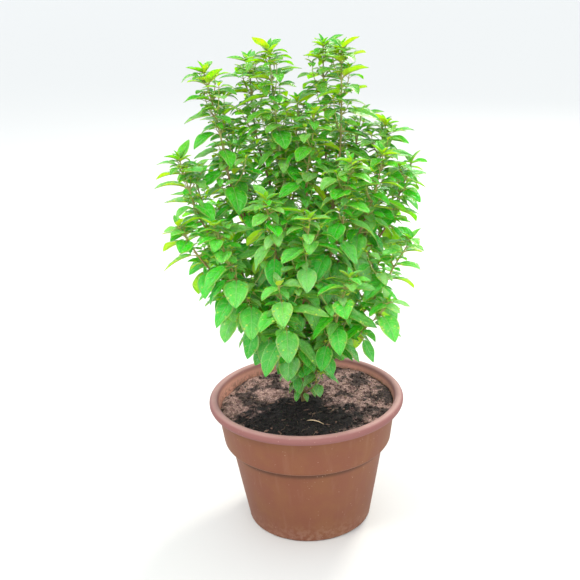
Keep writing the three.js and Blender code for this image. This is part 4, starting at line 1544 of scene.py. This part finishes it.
# Small leaves round the foot of the main stem. Each angle of their stand has a usual size and a spread
FOOT_PAIRS = 30
FOOT_HEIGHTS = (211.0, 300.0)
FOOT_LEAF = (15.0, 30.0)
FOOT_FACING = radians(-97)
FOOT_TURN = (-24, 24)
FOOT_STRETCH = (0.85, 1.15)
FOOT_STALK = (0.3, 1.0)
FOOT_WIDTH = (0.62, 0.78)
FOOT_STAND = {"lift": (26, 14), "neck": (-38, 16), "droop": (-74, 10), "fold": (15, 0)}
FOOT_PART = 0.4
FOOT_STEPS = 400

# Slim twigs beside the upper pairs: each joint has a share of the length, a leaf length and a turn
TWIG_REACH = (34.0, 64.0)
TWIG_MOST = 0.8
TWIG_TURN = (-30, 30)
TWIG_RISE = (52, 72)
TWIG_JOINTS = ((0.36, 30.0, 0), (0.68, 28.0, pi / 2), (0.97, 21.0, 0))
TWIG_ASIDE = (70, 100)
TWIG_STRETCH = (0.8, 1.15)
TWIG_TIP_LEAF = 13.0
TWIG_RADIUS = 0.95
TWIG_TAPER = 0.6
TWIG_BOW = 0.36
TWIG_SAG = 0.6
TWIG_STEPS = 6
TWIG_SIDES = 5
TWIG_TRAITS = (0.1, 0.3)
TWIN_TWIG_PAIRS = 5
TWIN_TWIG_HEIGHT = 600.0

# Short shoots above the leaves, with one pair of leaves or, if long, with two
SHOOT_REACH = (4.0, 24.0)
SHOOT_GROWTH = 0.6
SHOOT_STRETCH = (0.6, 1.3)
SHOOT_RISE = (44, 68)
SHOOT_LEAF = (14.0, 26.0)
SHOOT_LEAF_STRETCH = (0.75, 1.2)
SHOOT_ASIDE = (60, 105)
SHOOT_QUARTER = (50, 80)
SHOOT_START = 1.5
SHOOT_BOW = 0.1
SHOOT_SAG = 0.05
SHOOT_RADII = 0.85 * np.array([1.0, 0.85, 0.65])
LONG_SHOOT = 15.0
MIDDLE_LEAF = 1.1
END_LEAF = 0.85
TIP_LEAF = 0.55

# Leaves of the shoots and twigs: parts of the length, angles in degrees, and how much brighter they are
SMALL_STALK = 0.2
SMALL_WIDTH = (0.56, 0.7)
SMALL_LIFT = (24, 54)
SMALL_NECK = (26, -16)
SMALL_DROOP = (-60, -6)
SMALL_FOLD = 20
SMALL_ROLL = 0.7
SMALL_TONE = 0.14
TIP_WIDTH = 0.52
TIP_STAND = {"lift": 58, "neck": 50, "droop": 12, "fold": 34}
TIP_TONE = 0.25

# The youngest pairs at a tip: share of the length, leaf length, lift, droop and facet
TUFT_PAIRS = ((0.985, 23, 56, 30, 1), (1.0, 15, 70, 50, 0))
TUFT_STRETCH = (0.9, 1.15)
TUFT_STALK = 1.2
TUFT_WIDTH = 0.56
TUFT_BEND = 6
TUFT_FOLD = 34
TUFT_TURN = 0.3
TUFT_DROOP = 16
STEEP = radians(70)

# How many of the bends are tried for a leaf of a shoot or twig, and for the leaves at its tip
SMALL_BENDS = 7
TIP_BENDS = 3

# Each kind of added leaf draws from its own stream
SHOOT_STREAM, TWIG_STREAM, TWIN_STREAM, FOOT_STREAM, TUFT_STREAM = 2000, 3000, 3300, 3501, 4001


class Clearance:
    """Keeps the surfaces that are in place, and says whether a new blade is clear of them."""

    ROOM = 6000

    def __init__(self, box: Box) -> None:
        """Starts empty.

        Args:
            box: Opposite corners of the room for the blades, in metres.
        """
        self.inside = [np.array(corner) / MM for corner in box]
        self.skirt = BUSH_SKIRT
        self.trees: list[BVHTree] = []
        self.owners = np.full(self.ROOM, -1)
        self.low, self.high = np.zeros((2, self.ROOM, 3))

    def add(self, points: Any, faces: Faces, owner: int = -1) -> None:
        """Adds a surface.

        Args:
            points: Its points.
            faces: Its faces.
            owner: Number of the stem whose own leaves may touch it, or -1.
        """
        index = len(self.trees)
        self.trees.append(BVHTree.FromPolygons(points, faces))
        self.low[index], self.high[index] = np.min(points, axis=0), np.max(points, axis=0)
        self.owners[index] = owner

    def is_clear(self, points: Any, faces: Faces, owner: int) -> bool:
        """Whether a surface stays in the box and above the skirt, and meets nothing.

        Args:
            points: Its points.
            faces: Its faces.
            owner: Number of its stem.

        Returns:
            True if it is clear.
        """
        places = np.array(points)
        low, high = places.min(axis=0), places.max(axis=0)
        lowest = np.interp(np.hypot(places[:, 0], places[:, 1]), *self.skirt)
        if (low < self.inside[0]).any() or (high > self.inside[1]).any() or (places[:, 2] < lowest).any():
            return False
        size = len(self.trees)
        near = (self.low[:size] <= high).all(axis=1) & (self.high[:size] >= low).all(axis=1)
        near &= self.owners[:size] != owner
        if not near.any():
            return True
        tree = BVHTree.FromPolygons(points, faces)
        return not any(tree.overlap(self.trees[index]) for index in np.flatnonzero(near))

    def settle(self, leaf: Leaf, owner: int, bends: Sequence[tuple[float, float, float]]) -> Leaf | None:
        """Finds how a leaf can stand clear of what is there, and keeps it.

        Args:
            leaf: The leaf.
            owner: Number of its stem.
            bends: Ways to bend it, in order.

        Returns:
            The bent leaf, or None if no bend clears it.
        """
        for bend in bends:
            bent = leaf.bent(*bend)
            sheet = bent.sheet()
            if self.is_clear(*sheet, owner):
                self.add(*sheet)
                return bent
        return None


class Stem:
    """A stem with its leaves, laid out as in the solids."""

    def __init__(self, plan: StemPlan, number: int, parent: "Stem | None", clearance: Clearance) -> None:
        """Lays the stem.

        Args:
            plan: Its plan.
            number: Its number, from 1 for the main stem.
            parent: The stem that it grows from.
            clearance: Keeps the leaves clear of each other.
        """
        self.plan, self.number, self.clearance = plan, number, clearance
        root = parent.path.points(plan.at)[0] if parent else np.array(MAIN_ROOT, float)
        draw = make_draw(number * STEM_SEED)
        self.turn = 2 * pi * draw()
        self.path = StemPath(root, np.array(plan.tip, float), plan.bow, draw)
        count = max(2, int(self.path.length * (1 - plan.bare) / PAIR_SPACING + 0.5))
        self.pairs = [self.leaf_pair(pair, count) for pair in range(count)]
        self.leaves: list[Leaf] = []
        self.twigs: list[tuple[np.ndarray, np.ndarray]] = []

    def draws(self, stream: int) -> Draw:
        """One of the stem's own streams of draws."""
        return make_draw(self.number * LEAF_SEED + stream)

    def radius(self, share: Any) -> Any:
        """Radius at a share of the length."""
        return mix(self.plan.radius, STEM_TIP_RADIUS, np.asarray(share, float) ** STEM_TAPER)

    def leaf_pair(self, pair: int, count: int, at: float | None = None, size: float = 1.0) -> LeafPair:
        """One pair of leaves.

        Args:
            pair: Its number, from the tip.
            count: How many pairs the stem has.
            at: Share of the stem's length where it stands, or None for the rule of the solids.
            size: Size beside the leaves of the rule.

        Returns:
            The pair.
        """
        age = min(1.0, (pair + 0.25) / count)
        if at is None:
            at = 1 - (1 - self.plan.bare) * age ** PAIR_CROWDING
        grown = min(1, (1 - at) * self.path.length / GROWN_DISTANCE)
        place = self.path.points(at)[0]
        shade = min(1.0, max(0.0, (SHADE_TOP - place[2]) / SHADE_DEPTH))
        ripe = max(age ** RIPENING, shade * SHADE_RIPENESS)
        habit = Habit(*(mix(getattr(YOUNG, key), getattr(OLD, key), ripe) for key in vars(YOUNG)))
        away = atan2(place[1], place[0])
        leaves = []
        for side in (0, 1):
            draw = self.draws(pair * PAIR_STREAMS + side)
            turn, stretch, width, lift, droop, roll = (most * mix(-1, 1, draw()) for most in SPREAD.values())
            length = mix(TIP_LEAF_LENGTH, self.plan.low_leaf, grown) * (1 + stretch) * size
            facing = self.turn + (pair + 2 * side) % 4 * pi / 2
            leaves.append(Leaf(
                place, facing + radians(turn + OUTWARD_TURN * sin(away - facing)),
                length=length * (1 + habit.stalk), petiole=length * habit.stalk,
                width=length * habit.width * (1 + width), **in_radians(
                    lift=habit.lift + lift, neck=habit.neck + lift, droop=habit.droop + droop,
                    fold=habit.fold, roll=roll),
                tone=self.tone(place, age), chance=draw(), start=float(self.radius(at)) * STALK_START,
                lobe=LOBE * min(1, age * LOBE_GROWTH),
            ))
        return LeafPair(at, age, (pair + 1) % PAIR_CYCLE != 0, leaves)

    def inner_pairs(self) -> list[LeafPair]:
        """Pairs of old leaves on the part of the stem that the solids leave bare.

        Returns:
            The pairs, from the highest.
        """
        count, length = len(self.pairs), self.path.length
        step = INNER_SPACING / length
        lowest = INNER_ROOM / length if self.number > 1 else MAIN_BARE_SHARE
        shares = np.arange(self.plan.bare - step * INNER_START, lowest, -step)
        heights = self.path.points(shares)[:, 2] if len(shares) else shares
        places = enumerate(zip(shares, np.interp(heights, *INNER_SIZES)), start=count)
        return [self.leaf_pair(pair, count, at, size) for pair, (at, size) in places]

    @staticmethod
    def tone(place: np.ndarray, age: float) -> float:
        """How bright a leaf is: the young leaves at the top are the brightest, as youth makes a leaf brighter
        and height adds a little painted light.
        """
        high = np.clip((place[2] - BRIGHT_FROM) / BRIGHT_RISE, 0, 1)
        return float(np.clip(LEAST_TONE + HEIGHT_PAINTED_LIGHT * high + YOUNG_TONE * (1 - age) ** 2, 0, 1))

    def tube(self) -> tuple[list[list[float]], Faces]:
        """Coarse surface of the stem."""
        share = np.linspace(0, 1, TEST_RINGS)
        return test_tube(self.path.points(share), self.radius(share))

    def keep_solid_leaves(self) -> None:
        """Finds which way each leaf of the solids was bent, and takes it as it is there."""
        corners = frame["nodes"][self.plan.name].data.vertices
        tree = KDTree(len(corners))
        for index, corner in enumerate(corners):
            tree.insert(corner.co, index)
        tree.balance()
        for leaf in (leaf for pair in self.pairs if pair.in_solid for leaf in pair.leaves):
            for bent in (leaf.bent(*bend) for bend in BENDS):
                if tree.find(Vector(bent.tip() * MM))[2] < TIP_TOLERANCE * MM:
                    self.leaves.append(bent)
                    self.clearance.add(*bent.sheet())
                    break

    def settled(self, leaves: Iterable[Leaf], bends: int | None = None) -> list[Leaf]:
        """Those of some leaves that can stand clear of the others, by one of the first bends."""
        found = (self.clearance.settle(leaf, self.number, BENDS[:bends]) for leaf in leaves)
        return [leaf for leaf in found if leaf]

    def add_small_leaves(self) -> None:
        """Adds the pairs that the solids leave out, the tuft at the tip, the twigs and the shoots."""
        inner = self.inner_pairs()
        missing = [pair for pair in self.pairs if not pair.in_solid] + inner
        self.leaves += self.settled(leaf for pair in missing for leaf in pair.leaves)
        self.leaves += self.settled(self.tuft())
        for index in range(1, len(self.pairs)):
            self.add_twig(index, 0, TWIG_STREAM)
        if self.plan.tip[2] > TWIN_TWIG_HEIGHT:
            for index in range(1, TWIN_TWIG_PAIRS):
                self.add_twig(index, 1, TWIN_STREAM)
        for index, pair in enumerate(self.pairs[1:] + inner, start=1):
            self.add_shoots(index, pair)

    def add_foot_leaves(self) -> None:
        """Adds small leaves close round the foot of the stem, the smallest ones lowest, down to the soil."""
        self.clearance.skirt = FOOT_SKIRT
        self.leaves += self.settled(self.foot_leaves())
        self.clearance.skirt = BUSH_SKIRT

    def foot_leaves(self) -> Iterator[Leaf]:
        """Small leaves round the foot of the stem.

        Returns:
            The leaves, from the lowest.
        """
        draw = self.draws(FOOT_STREAM)
        shares = np.linspace(0, FOOT_PART, FOOT_STEPS)
        heights = self.path.points(shares)[:, 2]
        for index, level in enumerate(np.linspace(*FOOT_HEIGHTS, FOOT_PAIRS)):
            at = float(np.interp(level, heights, shares))
            for side in (0, pi):
                size = mix(*FOOT_LEAF, index / (FOOT_PAIRS - 1)) * mix(*FOOT_STRETCH, draw())
                facing = FOOT_FACING + index * pi / 2 + side + radians(mix(*FOOT_TURN, draw()))
                drop, stalk = mix(-1, 1, draw()), mix(*FOOT_STALK, draw())
                stand = {key: usual + spread * drop for key, (usual, spread) in FOOT_STAND.items()}
                yield Leaf(
                    self.path.points(at)[0], facing, length=size * (1 + stalk), petiole=size * stalk,
                    width=size * mix(*FOOT_WIDTH, draw()), roll=SMALL_ROLL * (draw() - 0.5), tone=0.5,
                    chance=draw(), start=float(self.radius(at)) * STALK_START, rows=9, columns=5,
                    **in_radians(**stand),
                )

    def tuft(self) -> Iterator[Leaf]:
        """The two youngest pairs, which stand up round the tip.

        Returns:
            Their leaves.
        """
        draw = self.draws(TUFT_STREAM)
        for share, length, lift, droop, facet in TUFT_PAIRS:
            for side in (0, 2):
                yield Leaf(
                    self.path.points(share)[0],
                    self.turn + (facet + side) * pi / 2 + TUFT_TURN * (draw() - 0.5),
                    length=length * mix(*TUFT_STRETCH, draw()), petiole=TUFT_STALK,
                    width=length * TUFT_WIDTH, **in_radians(
                        lift=lift, neck=lift - TUFT_BEND, droop=droop + TUFT_DROOP * (draw() - 0.5),
                        fold=TUFT_FOLD),
                    roll=TUFT_TURN * (draw() - 0.5), tone=self.tone(self.path.ends[3], 0), chance=draw(),
                    rows=8, columns=5, steepest=STEEP,
                )

    def add_twig(self, index: int, twin: int, stream: int) -> None:
        """Adds a slim twig with leaves of its own beside a pair.

        Args:
            index: The pair's number, from the tip.
            twin: 0 for the first twig of the pair and 1 for the second, on its other side.
            stream: The stream that its kind draws from.
        """
        pair, draw = self.pairs[index], self.draws(stream + index)
        heading = pair.leaves[(index + twin) % 2].direction + radians(mix(*TWIG_TURN, draw()))
        place = pair.leaves[0].place
        reach = min((1 - pair.at) * self.path.length * TWIG_MOST, mix(*TWIG_REACH, draw()))
        rise = radians(mix(*TWIG_RISE, draw()))
        out = outward(heading)
        end = place + out * reach * cos(rise) + UP * reach * sin(rise)
        part = np.linspace(0, 1, TWIG_STEPS)[:, None]
        line = mix(place, end, part) + (out - UP * TWIG_SAG) * reach * TWIG_BOW * part * (1 - part)
        radius = TWIG_RADIUS * np.linspace(1.0, TWIG_TAPER, TWIG_STEPS)
        tube = test_tube(line, radius)
        if not self.clearance.is_clear(*tube, self.number):
            return
        grown = self.settled((
            self.small_leaf(np.array([np.interp(share, part[:, 0], line[:, axis]) for axis in range(3)]),
                            heading + (side * radians(mix(*TWIG_ASIDE, draw())) + quarter),
                            size * mix(*TWIG_STRETCH, draw()), pair, draw)
            for share, size, quarter in TWIG_JOINTS for side in (-1, 1)
        ), SMALL_BENDS)
        if grown:
            self.clearance.add(*tube, self.number)
            self.leaves += grown + self.shoot_tip(end, heading, TWIG_TIP_LEAF, pair, draw)
            self.twigs.append((line, radius))

    def add_shoots(self, index: int, pair: LeafPair) -> None:
        """Adds a leafy shoot above each leaf of a pair.

        Args:
            index: The pair's number, from the tip.
            pair: The pair.
        """
        draw = self.draws(SHOOT_STREAM + index)
        for leaf in pair.leaves:
            reach = mix(*SHOOT_REACH, pair.age ** SHOOT_GROWTH) * mix(*SHOOT_STRETCH, draw())
            rise = radians(mix(*SHOOT_RISE, draw()))
            out = outward(leaf.direction)
            end = leaf.place + out * reach * cos(rise) + UP * (reach * sin(rise) + SHOOT_START)
            middle = mix(leaf.place, end, 0.5) + out * reach * SHOOT_BOW - UP * reach * SHOOT_SAG
            size = mix(*SHOOT_LEAF, pair.age) * mix(*SHOOT_LEAF_STRETCH, draw())
            joints = [(end, 1.0, 0)]
            if reach >= LONG_SHOOT:
                joints = [(middle, MIDDLE_LEAF, 1), (end, END_LEAF, 0)]
            grown = self.settled([
                self.small_leaf(joint, leaf.direction + (side * radians(mix(*SHOOT_ASIDE, draw()))
                                + quarter * radians(mix(*SHOOT_QUARTER, draw()))), size * part, pair, draw)
                for joint, part, quarter in joints for side in (-1, 1)
            ], SMALL_BENDS)
            if grown:
                self.leaves += grown + self.shoot_tip(end, leaf.direction, size * TIP_LEAF, pair, draw)
                self.twigs.append((np.array([leaf.place, middle, end]), SHOOT_RADII))

    @staticmethod
    def small_leaf(place: np.ndarray, direction: float, size: float, pair: LeafPair, draw: Draw) -> Leaf:
        """A leaf of a shoot.

        Args:
            place: Where it stands.
            direction: Which way it looks, in radians.
            size: Length of its blade.
            pair: The pair of leaves that the shoot stands above.
            draw: Draws for its stand.

        Returns:
            The leaf.
        """
        return Leaf(
            place, direction, length=size * (1 + SMALL_STALK), petiole=size * SMALL_STALK,
            width=size * mix(*SMALL_WIDTH, draw()), **in_radians(
                lift=mix(*SMALL_LIFT, draw()), neck=mix(*SMALL_NECK, pair.age),
                droop=mix(*SMALL_DROOP, draw()), fold=SMALL_FOLD),
            roll=SMALL_ROLL * (draw() - 0.5), tone=min(1.0, pair.leaves[0].tone + SMALL_TONE), chance=draw(),
            rows=7, columns=5,
        )

    def shoot_tip(self, place: np.ndarray, direction: float, size: float, pair: LeafPair,
                  draw: Draw) -> list[Leaf]:
        """The two youngest leaves at the tip of a shoot.

        Args:
            place: The tip.
            direction: Which way the shoot looks, in radians.
            size: Their length.
            pair: The pair of leaves that the shoot stands above.
            draw: Draws for their stand.

        Returns:
            Those of the two that stand clear.
        """
        return self.settled([Leaf(
            place, direction + side + 0.5 * (draw() - 0.5), length=size, petiole=1.0,
            width=size * TIP_WIDTH, **in_radians(**TIP_STAND), roll=0.0,
            tone=min(1.0, pair.leaves[0].tone + TIP_TONE), chance=draw(),
            rows=6, columns=5, steepest=STEEP,
        ) for side in (0, pi)], TIP_BENDS)

    def ring_shares(self) -> np.ndarray:
        """Places of the stem's rings: even steps, and three rings at each pair.

        Returns:
            Shares of the length.
        """
        length = self.path.length
        even = np.linspace(0, 1, max(FEWEST_RINGS, round(length / RING_SPACING)))
        near = [pair.at + shift / length for pair in self.pairs for shift in RINGS_BESIDE]
        shares = np.unique(np.clip(np.concatenate([even, near]), 0, 1))
        return shares[np.concatenate([[True], np.diff(shares) * length > RING_GAP])]

    def swollen(self, shares: np.ndarray) -> np.ndarray:
        """Radius with a slight swelling at each pair.

        Args:
            shares: Shares of the length.

        Returns:
            The radius at each share.
        """
        radius = self.radius(shares)
        for pair in self.pairs:
            away = (shares - pair.at) * self.path.length
            radius = radius * (1 + SWELLING * np.exp(-(away / SWELLING_REACH) ** 2))
        return radius

    def build(self, finishes: Sequence[bpy.types.Material]) -> None:
        """Makes and dresses the stem with its leaves.

        Args:
            finishes: Materials of the stem, of the leaves' upper side and of their underside.
        """
        parts = MeshParts()
        slot = Slot.WOOD if self.number == 1 else Slot.LEAF
        sides = STEM_SIDES[slot]
        shares = self.ring_shares()
        rings = tube_rings(self.path.points(shares), self.swollen(shares), sides, self.turn, STEM_HOLLOW)
        age = np.repeat(np.clip(FOOT_AGE - shares * AGE_FALL, 0, 1), sides)
        around = np.tile(np.arange(sides) / sides, len(shares))
        parts.add(rings, tube_faces(len(shares), sides), traits=np.column_stack([age, around]))
        for line, radius in self.twigs:
            parts.add_tube(line, radius, TWIG_SIDES, traits=TWIG_TRAITS)
        for leaf in self.leaves:
            leaf.add_to(parts, 0, 1, 2)
        place_piece(parts.make(f"{self.plan.name}_foliage", finishes), slot, self.plan.name)


@dataclass
class Bush:
    """All stems of the plant."""

    main: StemPlan = MAIN_STEM
    sides: tuple[StemPlan, ...] = SIDE_STEMS
    rooted_share: float = 0.16
    hole_gap: float = 0.3
    hole_room: float = 1.09
    hole_rings: int = 6
    hole_sides: int = 16

    def lay_out(self, box: Box) -> list[Stem]:
        """Lays the stems and settles all leaves.

        Args:
            box: The box of the solids, in metres, which the leaves stay inside.

        Returns:
            The stems, the main stem first.
        """
        clearance = Clearance(box)
        by_name = {self.main.name: Stem(self.main, 1, None, clearance)}
        for plan in self.sides:
            by_name[plan.name] = Stem(plan, len(by_name) + 1, by_name[plan.parent], clearance)
        stems = list(by_name.values())
        for stem in stems:
            clearance.add(*stem.tube(), stem.number)
        for stem in stems:
            stem.keep_solid_leaves()
        log.info("leaves of the solids: %d", sum(len(stem.leaves) for stem in stems))
        stems[0].add_foot_leaves()
        for stem in stems:
            stem.add_small_leaves()
        log.info("leaves in all: %d", sum(len(stem.leaves) for stem in stems))
        return stems

    def build(self, box: Box) -> bpy.types.Object:
        """Makes and dresses all stems.

        Args:
            box: The box of the solids, in metres, which the leaves stay inside.

        Returns:
            The hole in the soil for the main stem.
        """
        main, *others = self.lay_out(box)
        top, under = LEAF_TOP.make(), LEAF_UNDER.make()
        woody, green = WOODY_STEM.make(), GREEN_STEM.make()
        main.build([woody, top, under])
        for stem in others:
            stem.build([green, top, under])
        return self.hole(main)

    def hole(self, stem: Stem) -> bpy.types.Object:
        """Makes the hole in the soil in which a stem stands.

        Args:
            stem: The stem.

        Returns:
            The hole's form.
        """
        share = np.linspace(0, self.rooted_share, self.hole_rings)
        radius = stem.radius(share) * self.hole_room + self.hole_gap
        parts = MeshParts()
        parts.add_tube(stem.path.points(share), radius, self.hole_sides)
        return parts.make("stem_hole", [])


@dataclass(frozen=True)
class FloorFinish:
    """A pale matt floor."""

    colour: Colour = srgb(204, 202, 198)

    def make(self) -> bpy.types.Material:
        """Builds the material."""
        return Shader("studio_floor").finish({"Base Color": self.colour, "Roughness": 0.85})


@dataclass(frozen=True)
class Lamp:
    """A square soft light: its place and side in metres, its power in watts and its colour."""

    name: str
    place: tuple[float, float, float]
    power: float
    side: float
    colour: tuple[float, float, float]

    def build(self, target: Vector) -> None:
        """Makes the light.

        Args:
            target: The point that it looks at, in metres.
        """
        data = bpy.data.lights.new(self.name, "AREA")
        data.energy, data.size, data.color = self.power, self.side, self.colour
        lamp = bpy.data.objects.new(self.name, data)
        lamp.location = self.place
        lamp.rotation_euler = (target - Vector(self.place)).to_track_quat("-Z", "Y").to_euler()
        bpy.context.scene.collection.objects.link(lamp)


@dataclass
class Studio:
    """Pale floor, soft lights and the camera at the photograph's viewing angle."""

    camera_place: tuple[float, float, float] = (-18.53, -1286.56, 831.64)
    pitch: float = 70.69
    roll: float = -2.335
    lens: float = 55.86
    sensor: float = 36.0
    clip: Span = (0.05, 200)
    middle: tuple[float, float, float] = (0.0, 0.0, 420.0)
    floor_reach: float = 60.0
    sky: Colour = (0.9, 0.95, 1.0, 1)
    sky_strength: float = 1.56
    lamps: tuple[Lamp, ...] = (
        Lamp("key", (-2.0, -1.5, 3.1), 50, 0.9, (1.0, 0.98, 0.92)),
        Lamp("back", (1.4, 2.0, 2.6), 86, 0.9, (1.0, 0.99, 0.9)),
        Lamp("fill", (1.0, -3.2, 1.0), 44, 2.2, (0.97, 0.99, 1.0)),
    )

    def camera(self) -> None:
        """Makes the camera and takes it as the scene's own."""
        data = bpy.data.cameras.new("camera")
        data.lens = self.lens
        data.sensor_width = self.sensor
        data.sensor_fit = "HORIZONTAL"
        data.clip_start, data.clip_end = self.clip
        camera = bpy.data.objects.new("camera", data)
        turn = Matrix.Rotation(radians(self.pitch), 4, "X") @ Matrix.Rotation(radians(self.roll), 4, "Z")
        camera.matrix_world = Matrix.Translation(Vector(self.camera_place) * MM) @ turn
        bpy.context.scene.collection.objects.link(camera)
        bpy.context.scene.camera = camera

    def floor(self) -> None:
        """Makes the floor."""
        mesh = bpy.data.meshes.new("floor")
        reach = self.floor_reach
        square = [(-reach, -reach, 0), (reach, -reach, 0), (reach, reach, 0), (-reach, reach, 0)]
        mesh.from_pydata(square, [], [(0, 1, 2, 3)])
        mesh.materials.append(FloorFinish().make())
        floor = bpy.data.objects.new("floor", mesh)
        bpy.context.scene.collection.objects.link(floor)
        floor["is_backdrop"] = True

    def build(self) -> None:
        """Makes the floor, the surroundings, the lights and the camera."""
        self.floor()
        world = bpy.data.worlds.new("surroundings")
        bpy.context.scene.world = world
        world.use_nodes = True
        background = world.node_tree.nodes["Background"]
        background.inputs["Color"].default_value = self.sky
        background.inputs["Strength"].default_value = self.sky_strength
        for lamp in self.lamps:
            lamp.build(Vector(self.middle) * MM)
        bpy.context.scene.view_settings.view_transform = "Standard"
        self.camera()


def corners(bounds: Box) -> list[list[float]]:
    """A box as plain lists of numbers."""
    return [[float(number) for number in corner] for corner in bounds]


def main() -> None:
    """Builds the object piece by piece around the frame and reports each one."""
    logging.basicConfig(level=logging.INFO, format="%(name)s: %(message)s")
    solid_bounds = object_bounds()
    solid_box = corners(solid_bounds)
    pot = Pot()
    pot.build()
    stem_hole = Bush().build(solid_bounds)
    soil = Soil(pot)
    soil.filling(stem_hole)
    soil.lumps()
    soil.bark()
    soil.fibres()
    soil.sliver()
    Studio().build()
    made_box = corners(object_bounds())
    log.info("box of the solids %s, of the pieces %s", solid_box, made_box)


if __name__ == "__main__":
    main()
